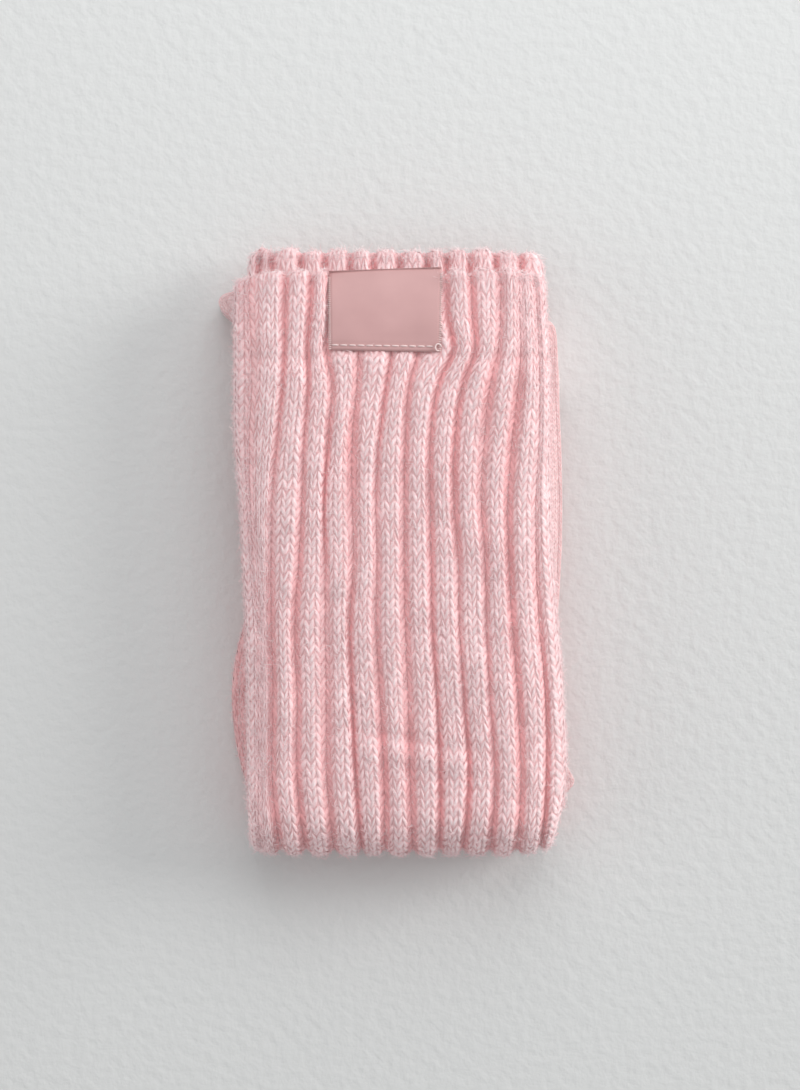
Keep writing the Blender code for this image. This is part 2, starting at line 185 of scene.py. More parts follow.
def blend(low, high, value):
    """From 0 at low to 1 at high, eased at both ends."""
    t = np.clip((value - low) / (high - low), 0, 1)
    return t * t * (3 - 2 * t)


def droop_at(x):
    """How far the stack's long edges hang below its middle."""
    return EDGE_DROOP * np.clip((np.abs(x) - DROOP_START) / DROOP_REACH, 0, DROOP_MOST) ** 2


def crease_at(x, y, creases):
    """The height that a table of creases adds at each place."""
    height = np.zeros_like(x)
    for crease_x, crease_y, long, wide, angle, most in creases:
        turn = math.radians(angle)
        along = (x - crease_x) * math.cos(turn) + (y - crease_y) * math.sin(turn)
        across = (y - crease_y) * math.cos(turn) - (x - crease_x) * math.sin(turn)
        height += most * np.exp(-((along / long) ** 2) - (across / wide) ** 2)
    return height


def outward_normals(surface, u, s, du, ds):
    """Outward unit normals of a surface, from places a small step away on both sides."""
    across = surface(u + du, s)[0] - surface(u - du, s)[0]
    along = surface(u, s + ds)[0] - surface(u, s - ds)[0]
    out = np.cross(along, across)
    return out / np.maximum(np.linalg.norm(out, axis=1, keepdims=True), 1e-9)


class Leg:
    """A flattened leg. u goes round it: over its ribs from left to right, then back underneath to ROUND.
    s is the distance along it from its cuff's rim, over the fold and on to its hidden end."""

    def __init__(self, cuff_y, end_y, thick, cuff_corners, rows, depth_at, ribs_at, lift_at, pressed_at, seed):
        self.cuff_y, self.thick, self.cuff_corners = cuff_y, thick, cuff_corners
        self.furrows, self.under, self.widths, self.depths = rows
        self.depth_at, self.ribs_at, self.lift_at, self.pressed_at = depth_at, ribs_at, lift_at, pressed_at
        inside = depth_at(np.array([FOLD_Y]))[0]
        reach, half = FOLD_REACH + inside, STACK_HEIGHT / 2 + inside
        self.upper = cuff_y - RIM - FOLD_Y
        self.fold = math.pi * math.sqrt((reach**2 + half**2) / 2)
        self.length = self.upper + self.fold + end_y - FOLD_Y
        self.phases = np.random.default_rng(seed).uniform(0, 2 * math.pi, (3, ROUND))
        self.phases[:, 0] = self.phases[:, RIBS - 1]

    def run_y(self, s):
        """y on the upper run, with the rim and the pocket that it turns into at the cuff."""
        turned = np.clip(-s / RIM, 0, math.pi)
        deeper = np.maximum(-s - math.pi * RIM, 0)
        return self.cuff_y - RIM * (1 - np.sin(turned)) - np.maximum(s, 0) - deeper

    def furrow_row(self, s, y, angle):
        """The left edge, the furrows and the right edge."""
        rows = smooth_rows(self.furrows, np.where(s < self.upper, y, FOLD_Y - FOLD_REACH * np.cos(angle)))
        rows = np.where((angle < 0)[:, None], smooth_rows(self.furrows, [FOLD_Y - FOLD_REACH]), rows)
        under_y = FOLD_Y + np.maximum(s - self.upper - self.fold, 0)
        share = (1 - np.sin(angle)) / 2
        edges = rows[:, [0, -1]] * (1 - share)[:, None] + smooth_rows(self.under, under_y) * share[:, None]
        across = (rows - rows[:, :1]) / (rows[:, -1:] - rows[:, :1])
        return edges[:, :1] + across * (edges[:, 1:] - edges[:, :1])

    def surface(self, u, s):
        """Points of the knit's outer face, and a crest value for its colour: how far up a rib each lies, from
        0 in a furrow to 1, lowered further by painted shade on the ribs' left flanks, on the underside and
        hidden layers, and on the run under the stack.
        """
        u, s = np.mod(u, ROUND), np.asarray(s, float)
        y = self.run_y(s)
        angle = math.pi / 2 - math.pi * np.clip((s - self.upper) / self.fold, 0, 1)
        row = self.furrow_row(s, y, angle)
        part = np.floor(u).astype(int)
        t = u - part
        every = np.arange(len(u))
        rib = np.minimum(part, RIBS - 1)
        a, b = row[every, rib], row[every, rib + 1]

        # Across: the ribs, with the outermost ones rolling over the sock's edges
        left, right = row[:, 0], row[:, -1]
        outer_t = np.where(part == 0, t, 1 - t)
        edge_width = b - a
        edge_round = np.minimum(EDGE_ROUND, EDGE_ROUND_MOST * edge_width)
        roll = np.clip(outer_t / EDGE_SHARE, 0, 1) * math.pi / 2
        inward = edge_round * (1 - np.cos(roll))
        inward += np.clip((outer_t - EDGE_SHARE) / (1 - EDGE_SHARE), 0, 1) * (edge_width - edge_round)
        x = a + t * edge_width
        x = np.where(part == 0, left + inward, np.where(part == RIBS - 1, right - inward, x))
        under_roll = np.where(part == BACK_ROLL, t, 1 - t) * math.pi / 2
        under_inward = EDGE_ROUND * (1 - np.cos(under_roll))
        x = np.where(part == BACK_ROLL, right - under_inward, x)
        x = np.where(part == BACK, right - EDGE_ROUND - t * (right - left - 2 * EDGE_ROUND), x)
        x = np.where(part == LEFT_ROLL, left + under_inward, x)

        # Height: ribs between their furrows, on the upper run and over the fold
        upper = s < self.upper
        ribbed = self.ribs_at(y) * np.where(upper, 1, blend(*RIBS_FADE, angle))
        ribbed = ribbed * (1 - self.pressed_at(x, y) * upper)
        furrow_y = np.where(upper, y, FOLD_Y - FOLD_REACH)
        widths, depths = smooth_rows(self.widths, furrow_y), smooth_rows(self.depths, furrow_y)
        first, second = np.clip(rib - 1, 0, RIBS - 2), np.clip(rib, 0, RIBS - 2)
        wide_a, wide_b = widths[every, first], widths[every, second]
        depth_a = np.where(rib > 0, depths[every, first], 0)
        depth_b = np.where(rib < RIBS - 1, depths[every, second], 0)
        along = np.where(part > RIBS - 1, 1.0, t)
        near_a = depth_a * np.exp(-(np.abs((x - a) / wide_a / FURROW_SPREAD) ** FURROW_FLATNESS))
        near_b = depth_b * np.exp(-(np.abs((b - x) / wide_b / FURROW_SPREAD) ** FURROW_FLATNESS))
        flank_a = 1 - np.sin(math.pi / 2 * np.clip(along / CREST_PLACE, 0, 1))
        flank_b = 1 - np.sin(math.pi / 2 * np.clip((1 - along) / (1 - CREST_PLACE), 0, 1))
        flank_a, flank_b = flank_a * (rib > 0), flank_b * (rib < RIBS - 1)
        dip = (1 - ROUNDNESS) * (near_a + near_b) + ROUNDNESS * (flank_a * depth_a + flank_b * depth_b)
        narrow_a, narrow_b = (np.clip(FURROW_PLAIN_WIDTH - wide, 0, 1) for wide in (wide_a, wide_b))
        deep = narrow_a * near_a + narrow_b * near_b
        rise = self.rise(row, rib, s)
        rise_a, rise_b = self.rise(row, first, s), self.rise(row, np.minimum(rib + 1, RIBS - 1), s)
        rise = rise + (rise_a - rise) / 2 * flank_a + (rise_b - rise) / 2 * flank_b
        height = ribbed * (rise * (1 - np.minimum(dip, 1)) - FURROW_DEEPENS * deep)
        lift = self.lift_at(x, y) * upper
        under = s > self.upper + self.fold
        under_y = FOLD_Y + s - self.upper - self.fold
        creased = under * blend(0, UNDER_CREASES_START, s - self.upper - self.fold)
        lift = lift + crease_at(x, under_y, UNDER_CREASES) * creased
        edge = (part == 0) | (part == RIBS - 1)
        half = self.thick / 2
        level = np.where(edge, -half + (half + lift + height) * np.sin(roll), lift + height)
        plain = np.where(edge, -half + half * np.sin(roll), 0.0)
        beneath = -half - half * np.where(part == BACK, 1, np.sin(under_roll))
        level, plain = np.where(part > RIBS - 1, beneath, level), np.where(part > RIBS - 1, beneath, plain)
        # Colour: pale on the crests and deeper in the furrows, partly the yarn's own deeper tone there and
        # partly painted shade; painted shade also deepens each rib's left flank, the underside and the run
        # under the stack.
        low = np.minimum(near_a + near_b + LEFT_FLANK_PAINTED_SHADE * flank_a * depth_a, 1)
        crest = np.where(part > RIBS - 1, UNDERSIDE_PAINTED_SHADE_CREST, (1 - low) * ribbed + UNDERSIDE_PAINTED_SHADE_CREST * (1 - ribbed))
        crest = crest * (1 - UNDER_RUN_PAINTED_SHADE * under)

        # The cuff turns over its rim into the pocket
        turned = np.cos(np.clip(-s / RIM, 0, math.pi))
        pocket = -WALL - (self.thick - 2 * WALL) * np.clip(-plain / self.thick, 0, 1)
        centre, half_width = (left + right) / 2, (right - left) / 2
        pocket_x = centre + (x - centre) * (half_width - WALL) / half_width
        middle, middle_x = (plain + pocket) / 2, (x + pocket_x) / 2
        level = middle + np.where(turned > 0, level - middle, middle - pocket) * turned
        x = middle_x + np.where(turned > 0, x - middle_x, middle_x - pocket_x) * turned
        near_cuff = 1 - blend(0, CUFF_LOBE_REACH, self.cuff_y - y)
        ragged = CUFF_RAGGED * np.sin(self.phases[2, rib]) * np.clip(1 - flank_a - flank_b, 0, 1)
        y = y + CUFF_LOBE * near_cuff * (height / RIB_RISE + ragged)
        y = y + self.cuff_shape(x - left, right - x) * (1 - blend(0, CORNER_REACH, self.cuff_y - y))

        # The hidden end closes
        closing = np.clip((s - self.length + half) / half, 0, 1)
        level = -half + (level + half) * np.sqrt(1 - closing**2)
        return self.laid(x, level, s, y, angle), crest

    def rise(self, row, rib, s):
        """How high each rib stands at its crest."""
        every = np.arange(len(s))
        width = row[every, rib + 1] - row[every, rib]
        share = np.where((rib == 0) | (rib == RIBS - 1), EDGE_RISE, np.minimum(1, width / RIB_FULL_WIDTH))
        waves = zip(RIB_SWELLS, self.phases)
        swell = sum(most * np.sin(s / length + phases[rib]) for (most, length), phases in waves)
        return RIB_RISE * share * (1 + swell)

    def cuff_shape(self, from_left, from_right):
        """The cuff's corners lie further in than its middle, and a tip may curl out beside one."""
        (left_drop, left_reach), (right_drop, right_reach), (tip, tip_place, tip_width) = self.cuff_corners
        drop = left_drop * np.exp(-from_left / left_reach) + right_drop * np.exp(-from_right / right_reach)
        return tip * np.exp(-(((from_left - tip_place) / tip_width) ** 2)) - drop

    def laid(self, x, level, s, y, angle):
        """Sets points on the upper run, round the fold or on the run under the stack."""
        level = level + np.where(s < self.upper, self.depth_at(y), self.depth_at(np.full_like(y, FOLD_Y)))
        sag = droop_at(x) * (1 + np.sin(angle)) / 2
        half = STACK_HEIGHT / 2
        fold_y = FOLD_Y - (FOLD_REACH + level - sag) * np.cos(angle)
        fold_z = half + (half + level - sag) * np.sin(angle)
        folded = s > self.upper
        under = s > self.upper + self.fold
        out_y = np.where(under, FOLD_Y + s - self.upper - self.fold, np.where(folded, fold_y, y))
        upper_z = smooth_rows(TOP_LINE, y)[:, 0] + level - sag
        out_z = np.where(under, -level, np.where(folded, fold_z, upper_z))
        return np.column_stack([x + SHIFT, out_y, out_z])

    def normals(self, u, s):
        return outward_normals(self.surface, u, s, du=0.012, ds=0.06)


HEM_Y, HEM_SOFTNESS, HEM_STEP = 62.5, 3.0, 0.45
HEM_PINCH, HEM_PINCH_FROM_EDGE, HEM_PINCH_WIDTH = 0.15, 1.5, 1.4


def hem_lift(y):
    """The turned hem doubles the knit, and ends in a low step that its sewing pinches."""
    step = HEM_STEP * blend(HEM_Y - HEM_SOFTNESS / 2, HEM_Y + HEM_SOFTNESS / 2, y)
    return step - HEM_PINCH * np.exp(-(((y - HEM_Y + HEM_PINCH_FROM_EDGE) / HEM_PINCH_WIDTH) ** 2))


LABEL_PRESSES, PRESSED_FROM = 0.52, (60.5, 63.5)
PRESSED_LEFT, PRESSED_RIGHT = (-24.5, -21.5), (12.0, 15.0)
LABEL_BENDS, LABEL_BENDS_FROM, LABEL_BENDS_OVER, LABEL_BENDS_MOST = 2.6, 72.5, 15.5, 1.2


def beneath_label(x):
    return blend(*PRESSED_LEFT, x) * (1 - blend(*PRESSED_RIGHT, x))


def label_press(x, y):
    """The sewn-on label presses the ribs beneath it flatter."""
    return LABEL_PRESSES * beneath_label(x) * blend(*PRESSED_FROM, y)


def label_bend(y):
    """How far the label and the cuff beneath it bend down towards the rim."""
    return LABEL_BENDS * np.clip((y - LABEL_BENDS_FROM) / LABEL_BENDS_OVER, 0, LABEL_BENDS_MOST) ** 2


def top_lift(x, y):
    return hem_lift(y) + crease_at(x, y, TOP_CREASES) - label_bend(y) * beneath_label(x)


top_sock = Leg(
    cuff_y=87.4,
    end_y=48.0,
    thick=6.0,
    cuff_corners=((2.8, 5.0), (2.4, 2.5), (0.0, 0.0, 1.0)),
    rows=(TOP_FURROWS, UNDER_TOP, TOP_FURROW_WIDTHS, TOP_FURROW_DEPTHS),
    depth_at=lambda y: np.zeros_like(y),
    ribs_at=lambda y: np.ones_like(y),
    lift_at=top_lift,
    pressed_at=label_press,
    seed=11,
)


def add_mesh(name, points, faces, material, **values):
    """A smooth-shaded mesh from points in millimetres. Each value is written to its points by its name."""
    mesh = bpy.data.meshes.new(name)
    mesh.from_pydata((points * MM).tolist(), [], [list(face) for face in faces])
    mesh.shade_smooth()
    for title, value in values.items():
        kind, slot = ("FLOAT_VECTOR", "vector") if np.ndim(value) == 2 else ("FLOAT", "value")
        mesh.attributes.new(title, kind, "POINT").data.foreach_set(slot, value.astype(np.float32).ravel())
    mesh.materials.append(material)
    piece = bpy.data.objects.new(name, mesh)
    bpy.context.scene.collection.objects.link(piece)
    return piece


def grid_faces(rows, columns, closed):
    """Faces of a grid of points, row by row. A closed grid's last column joins its first."""
    r, c = np.meshgrid(np.arange(rows - 1), np.arange(columns if closed else columns - 1), indexing="ij")
    after = (c + 1) % columns
    corners = (r * columns + c, r * columns + after, (r + 1) * columns + after, (r + 1) * columns + c)
    return np.stack([corner.ravel() for corner in corners], axis=1)


BACKING_DEPTH, BACKING_GAP_PAINTED_SHADE, BACKING_SHADE = 0.16, 0.35, 0.5
RIB_PITCH = 8.0


def knit_backing(name, leg, around, along, material):
    """The cloth behind the stitches, as one thin skin round the leg."""
    s, u = (grid.ravel() for grid in np.meshgrid(along, around, indexing="ij"))
    points, crest = leg.surface(u, s)
    points = points - BACKING_DEPTH * leg.normals(u, s)
    points[:, 2] = np.maximum(points[:, 2], 0.0)
    yarn = np.column_stack([u * RIB_PITCH, s, np.zeros_like(u)])
    faces = grid_faces(len(along), len(around), closed=True)[:, ::-1]
    shade = np.full(len(u), BACKING_SHADE)
    # Painted shade: the backing shows only in the gaps between stitches, so its colour is deepened.
    return add_mesh(name, points, faces, material, crest=crest * BACKING_GAP_PAINTED_SHADE, shade=shade, yarn=yarn)


# A stitch's size, and how unevenly stitches are plumped, shifted and tilted
COURSE, STITCH_REACH, WALE = 2.84, 1.4, 2.8
WALE_DRIFT, DRIFT_LENGTH = 0.22, 17.0
PLUMP_VARIES, PLUMP_LEAST, PLUMP_MOST = 0.18, 0.6, 1.5
SLIP_VARIES, TILT_VARIES = 0.08, 0.07
LOWEST_STITCH, HIGHEST_STITCH = 0.35, 1.15
YARN_WIDE, YARN_LONG, YARN_NUMBERS = 2.8, 3.6, 40

# One leg of a stitch, from its tucked-in foot to its tip. Places across are shares of a wale's width.
STITCH_LEG = (
    # along, from the middle, half width, height
    (0.00, 0.43, 0.08, -0.15),
    (0.18, 0.40, 0.16, 0.05),
    (0.40, 0.33, 0.20, 0.18),
    (0.62, 0.24, 0.20, 0.22),
    (0.82, 0.155, 0.15, 0.10),
    (1.00, 0.09, 0.07, -0.15),
)
STITCH_EDGE = -0.03
PLUMP_STRANDS, PLAIN_STRANDS = (-1.0, -0.45, 0.45, 1.0), (-1.0, 0.0, 1.0)
# Painted shade: a stitch leg's colour deepens towards its sides and ends, where the gaps between legs lie.
STITCH_SIDE_PAINTED_SHADE, STITCH_END_PAINTED_SHADE, LEG_MIDDLE = 0.6, 0.45, 0.55


def lay_stitches(
    name, leg, wales, courses, material, strands=PLAIN_STRANDS, course=COURSE, hidden=None, seed=1
):
    """Two yarn legs for each stitch, leaning together towards the cuff, as one joined mesh. Those in the
    hidden box (two opposite corners seen from above) lie under another piece and are left out."""
    random = np.random.default_rng(seed)
    low, high = (np.array(edge, float) for edge in zip(*wales))
    shape = (len(wales), len(courses), 2, len(STITCH_LEG), len(strands))
    along, out, half, top = (np.array(column)[:, None] for column in zip(*STITCH_LEG))
    each = shape[:3] + (1, 1)
    side = np.array([-1.0, 1.0])[None, None, :, None, None]
    strand = np.array(strands)
    plump = np.clip(random.normal(1, PLUMP_VARIES, each), PLUMP_LEAST, PLUMP_MOST)
    slip = random.normal(0, SLIP_VARIES, each)
    start = random.uniform(0, 2 * math.pi, (len(wales), 1))
    drift = np.sin(np.array(courses)[None, :] / DRIFT_LENGTH + start)
    slip = slip + WALE_DRIFT * drift[:, :, None, None, None]
    tilt = random.normal(0, TILT_VARIES, each)
    middle = (low + high)[:, None, None, None, None] / 2
    width = (high - low)[:, None, None, None, None]
    across = side * (out + tilt * (along - 0.5)) + strand * half * plump
    u = np.broadcast_to(middle + width * across, shape)
    step = (0.5 - along) * STITCH_REACH + slip
    s = np.broadcast_to(np.array(courses)[None, :, None, None, None] + step * course, shape)
    borders = [np.repeat(edge, len(courses)) for edge in (low, high)]
    ends = [leg.surface(border, np.tile(courses, len(wales)))[0] for border in borders]
    spread = np.linalg.norm(ends[1] - ends[0], axis=1).reshape(len(wales), len(courses), 1, 1, 1)
    level = np.where(np.abs(strand) == 1, STITCH_EDGE, top * plump)
    level = np.broadcast_to(level * np.clip(spread / WALE, LOWEST_STITCH, HIGHEST_STITCH), shape)
    points, crest = leg.surface(u.ravel(), s.ravel())
    points = points + leg.normals(u.ravel(), s.ravel()) * level.reshape(-1, 1)
    points[:, 2] = np.maximum(points[:, 2], 0.0)
    # Painted shade in the gaps: deeper colour at each leg's sides and ends.
    painted_gap_shade = (1 - STITCH_SIDE_PAINTED_SHADE * strand**2) * (1 - STITCH_END_PAINTED_SHADE * ((along - LEG_MIDDLE) / LEG_MIDDLE) ** 2)
    crest = crest * np.broadcast_to(painted_gap_shade, shape).ravel()
    number = random.uniform(0, YARN_NUMBERS, each)
    yarn = np.stack(np.broadcast_arrays(strand * half * YARN_WIDE, along * YARN_LONG, number, u)[:3], axis=-1)
    shade = np.broadcast_to(random.uniform(0, 1, each), shape).ravel()
    size = len(STITCH_LEG) * len(strand)
    kept = np.ones(len(points) // size, bool)
    if hidden is not None:
        middles = points.reshape(-1, size, 3).mean(axis=1)
        inside = np.all((middles[:, :2] > hidden[0]) & (middles[:, :2] < hidden[1]), axis=1)
        kept = ~(inside & (middles[:, 2] > STACK_HEIGHT / 2))
    every = np.repeat(kept, size)
    faces = grid_faces(len(STITCH_LEG), len(strand), closed=False)
    faces = (faces[None] + (np.arange(kept.sum()) * size)[:, None, None]).reshape(-1, 4)
    values = {"crest": crest[every], "shade": shade[every], "yarn": yarn.reshape(-1, 3)[every]}
    return add_mesh(name, points[every], faces, material, **values)


def new_node(nodes, kind, values=None, **settings):
    """A shader node of a kind, with its settings and the values of its input sockets."""
    node = nodes.new(f"ShaderNode{kind}")
    for title, setting in settings.items():
        setattr(node, title, setting)
    for title, value in (values or {}).items():
        node.inputs[title].default_value = value
    return node


def new_material(name, values):
    """A material, its nodes, the function that links them, and its shader with the values given."""
    material = bpy.data.materials.new(name)
    material.use_nodes = True
    tree = material.node_tree
    shader = tree.nodes["Principled BSDF"]
    for title, value in values.items():
        shader.inputs[title].default_value = value
    return material, tree.nodes, tree.links.new, shader


def add_relief(nodes, link, height, shader, strength, depth):
    """Bumps on a shader's surface, from a height that varies. The depth is in millimetres."""
    relief = new_node(nodes, "Bump", {"Strength": strength, "Distance": depth * MM})
    link(height, relief.inputs["Height"])
    link(relief.outputs["Normal"], shader.inputs["Normal"])


BASE_TONE, SHADE_TONE, STRAND_TONE, PATCH_TONE = 0.735, 0.18, 0.30, 0.12


def brushed_cotton():
    """A node group: soft strands along the yarn, paler on the crests and deeper in the furrows, partly the
    yarn's own tone and partly painted shade; near-white fibres on the crests are partly real and partly a
    painted highlight."""
    group = bpy.data.node_groups.new("brushed_cotton", "ShaderNodeTree")
    sockets = [("Yarn", "Vector"), ("Crest", "Float"), ("Shade", "Float")]
    for title, kind in sockets + [(title, "Color") for title in ("Pale", "Deep", "White")]:
        group.interface.new_socket(title, in_out="INPUT", socket_type=f"NodeSocket{kind}")
    group.interface.new_socket("Color", in_out="OUTPUT", socket_type="NodeSocketColor")
    group.interface.new_socket("Height", in_out="OUTPUT", socket_type="NodeSocketFloat")
    nodes, link = group.nodes, group.links.new
    given, result = nodes.new("NodeGroupInput"), nodes.new("NodeGroupOutput")

    stretch = new_node(nodes, "VectorMath", {1: (6.0, 0.9, 1.0)}, operation="MULTIPLY")
    strands = new_node(nodes, "TexNoise", {"Scale": 1.0, "Detail": 3.0})
    place = new_node(nodes, "TexCoord")
    patches = new_node(nodes, "TexNoise", {"Scale": 70.0, "Detail": 2.0})
    link(given.outputs["Yarn"], stretch.inputs[0])
    link(stretch.outputs[0], strands.inputs["Vector"])
    link(place.outputs["Object"], patches.inputs["Vector"])

    depth = new_node(nodes, "Mix", data_type="RGBA")
    link(given.outputs["Crest"], depth.inputs["Factor"])
    link(given.outputs["Deep"], depth.inputs["A"])
    link(given.outputs["Pale"], depth.inputs["B"])
    # Near-white streaks along the strands, kept to the crests by the squared crest value: partly pale fibres
    # of the yarn, partly a painted highlight.
    whitest = new_node(nodes, "MapRange", {"From Min": 0.44, "From Max": 0.66, "To Max": 0.9})
    link(strands.outputs["Fac"], whitest.inputs["Value"])
    tip = new_node(nodes, "Math", {1: 2.0}, operation="POWER")
    link(given.outputs["Crest"], tip.inputs[0])
    on_crest = new_node(nodes, "Math", operation="MULTIPLY")
    link(whitest.outputs["Result"], on_crest.inputs[0])
    link(tip.outputs[0], on_crest.inputs[1])
    fibre_streaks_and_highlight = new_node(nodes, "Mix", data_type="RGBA")
    link(on_crest.outputs[0], fibre_streaks_and_highlight.inputs["Factor"])
    link(depth.outputs["Result"], fibre_streaks_and_highlight.inputs["A"])
    link(given.outputs["White"], fibre_streaks_and_highlight.inputs["B"])

    shades = ((given.outputs["Shade"], SHADE_TONE), (strands.outputs["Fac"], STRAND_TONE))
    total = None
    for source, amount in (*shades, (patches.outputs["Fac"], PATCH_TONE)):
        part = new_node(nodes, "Math", {1: amount}, operation="MULTIPLY_ADD")
        link(source, part.inputs[0])
        if total is None:
            part.inputs[2].default_value = BASE_TONE
        else:
            link(total, part.inputs[2])
        total = part.outputs[0]
    tone = new_node(nodes, "VectorMath", operation="SCALE")
    link(fibre_streaks_and_highlight.outputs["Result"], tone.inputs[0])
    link(total, tone.inputs["Scale"])
    link(tone.outputs[0], result.inputs["Color"])
    link(strands.outputs["Fac"], result.inputs["Height"])
    return group


COTTON = brushed_cotton()
COTTON_SURFACE = {
    "Roughness": 0.9,
    "Specular IOR Level": 0.2,
    "Sheen Weight": 0.5,
    "Sheen Roughness": 0.5,
    "Sheen Tint": (1.0, 0.92, 0.92, 1.0),
}
COTTON_RELIEF_DEPTH = 0.25


def cotton_material(name, bump, **colours):
    """Brushed cotton yarn, rough, with the pale sheen of its loose fibres, in three colours by their names."""
    material, nodes, link, shader = new_material(name, COTTON_SURFACE)
    colours = {title.title(): (*colour, 1.0) for title, colour in colours.items()}
    yarn = new_node(nodes, "Group", colours, node_tree=COTTON)
    for title, output in (("yarn", "Vector"), ("crest", "Fac"), ("shade", "Fac")):
        value = new_node(nodes, "Attribute", attribute_name=title)
        link(value.outputs[output], yarn.inputs[title.title()])
    link(yarn.outputs["Color"], shader.inputs["Base Color"])
    add_relief(nodes, link, yarn.outputs["Height"], shader, bump, COTTON_RELIEF_DEPTH)
    return material


rib_cotton = cotton_material(
    "pink_rib_cotton", bump=0.6, pale=(0.95, 0.74, 0.75), deep=(0.90, 0.47, 0.475), white=(0.98, 0.90, 0.90)
)

# Two wales lie on each rib, and one runs along the floor of the furrow between them
RIB_WALES = (0.16, 0.48, 0.84)
WIDE_RIB, WIDE_RIB_WALES = 1, (0.16, 0.38, 0.61, 0.84)
EDGE_WALES = (0.0, 0.30, 0.84)


def front_wales():
    """The u range of each wale from the left edge to the right."""
    borders = list(EDGE_WALES)
    for rib in range(1, RIBS - 1):
        borders += [rib + share for share in (WIDE_RIB_WALES if rib == WIDE_RIB else RIB_WALES)]
    borders += [RIBS - border for border in reversed(EDGE_WALES)]
    return list(zip(borders[:-1], borders[1:]))


SIDE_WALES = [(-1.0, -0.5), (-0.5, 0.0)]
OTHER_SIDE_WALES = [(BACK_ROLL, BACK_ROLL + 0.5), (BACK_ROLL + 0.5, BACK)]


def courses_between(start, end, course=COURSE):
    return np.arange(math.ceil(start / course), math.floor(end / course) + 1) * course


RIB_COLUMNS, ROW_SPACING, UNDER_ROWS = 10, 2.0, 30


def columns_round():
    """Where the backing has its columns: close on the ribs, wider underneath."""
    over = np.linspace(0, RIBS, RIBS * RIB_COLUMNS + 1)[:-1]
    beneath = [np.linspace(BACK_ROLL, BACK, 5)[:-1], np.linspace(BACK, LEFT_ROLL, 26)[:-1]]
    return np.concatenate([over, *beneath, np.linspace(LEFT_ROLL, ROUND, 5)[:-1]])


def rows_along(leg, pocket):
    """Where the backing has its rows: the pocket, the rim, the runs, and the closing end."""
    rim = np.linspace(-math.pi * RIM, 0, 7)
    inside = -math.pi * RIM - np.array([pocket, pocket / 2, pocket / 5, 2.0])
    over = np.linspace(0, leg.upper + leg.fold, int((leg.upper + leg.fold) / ROW_SPACING))[1:]
    under = np.linspace(over[-1], leg.length - leg.thick / 2, UNDER_ROWS)[1:]
    end = leg.length - leg.thick / 2 * (1 - np.sin(np.linspace(0, 1, 6)[1:] * math.pi / 2))
    return np.concatenate([inside, rim, over, under, end])


def lay_layers(leg, *layers):
    """Layers of rib stitches on a leg. A layer is (name, wales, start, end, strands, hidden box, seed)."""
    return [
        lay_stitches(name, leg, wales, courses_between(start, end), rib_cotton, strands, hidden=box, seed=seed)
        for name, wales, start, end, strands, box, seed in layers
    ]


def put_down(piece, slot, *nodes):
    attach(piece, "root")
    if nodes:
        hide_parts(*nodes)


# Opposite corners of the box in which the label hides the stitches
UNDER_LABEL = ((-20.5, 65.0), (12.6, 92.0))
ALL_WALES = SIDE_WALES + front_wales() + OTHER_SIDE_WALES
BACK_WALES, BACK_SHOWS = 36, 6.0
BACK_BORDERS = np.linspace(BACK, LEFT_ROLL, BACK_WALES + 1)
back_wales = list(zip(BACK_BORDERS[:-1], BACK_BORDERS[1:]))
INSIDE_RIM, POCKET_DEEP, END_BARE, UNDER_SOONER = -4.5, 30.0, 1.5, 6

top_rows = rows_along(top_sock, POCKET_DEEP)
top_leg = knit_backing("top_sock_leg_cloth", top_sock, columns_round(), top_rows, rib_cotton)
turned_under = top_sock.upper + top_sock.fold - UNDER_SOONER
top_end = top_sock.length - END_BARE
top_stitches = lay_layers(
    top_sock,
    # name, wales, start, end, strands, hidden box, seed
    ("top_sock_stitches", ALL_WALES, INSIDE_RIM, turned_under, PLUMP_STRANDS, UNDER_LABEL, 3),
    ("top_sock_under_stitches", ALL_WALES, turned_under, top_end, PLAIN_STRANDS, None, 4),
    ("top_sock_back_stitches", back_wales, INSIDE_RIM, BACK_SHOWS, PLAIN_STRANDS, None, 8),
)
for piece in [top_leg, *top_stitches]:
    put_down(piece, "rib_knit", "top_sock_leg")

# ---- The second sock's leg ---------------------------------------------------------------------------
# The same rib tube, lying under the first one inside the fold. Its cuff reaches further out, where it hangs
# clear of the first by the height of its ribs. Of the rest only its edges show.

LAYER_GAP, SECOND_THICK = 0.5, 5.4
SECOND_OPENS = (44.0, 76.0)
SECOND_FURROW_WIDTH = 1.15

SECOND_MIDDLE = (-31.8, -24.3, -16.1, -8.8, -0.3, 8.5, 14.8, 22.4, 30.6, 38.7)
SECOND_FURROWS = (
    # y,   left, furrow 1 and 2, furrow 3 to 12, right
    (-82, -46.5, -43.5, -40.5, *SECOND_MIDDLE, 49),
    (0, -48.5, -45.5, -41, *SECOND_MIDDLE, 47.5),
    (63, -49.5, -45.5, -41, *SECOND_MIDDLE, 48),
    (80, -49, -45.5, -41, *SECOND_MIDDLE, 46.9),
    (96, -48.4, -45, -41, *SECOND_MIDDLE, 45.9),
)
UNDER_SECOND = (
    # y,    left, right
    (-82, -46, 48),
    (-66, -50, 48.5),
    (-46, -52, 48),
    (-28, -50, 47.5),
    (-10, -47.5, 47.5),
    (50, -47, 47.5),
)


def second_depth(y):
    return -(top_sock.thick + LAYER_GAP) - RIB_RISE * blend(*SECOND_OPENS, y)


def same_furrows(value):
    """A table with one value for all its furrows."""
    return [(y, *[value] * (RIBS - 1)) for y in (-95.0, 96.0)]


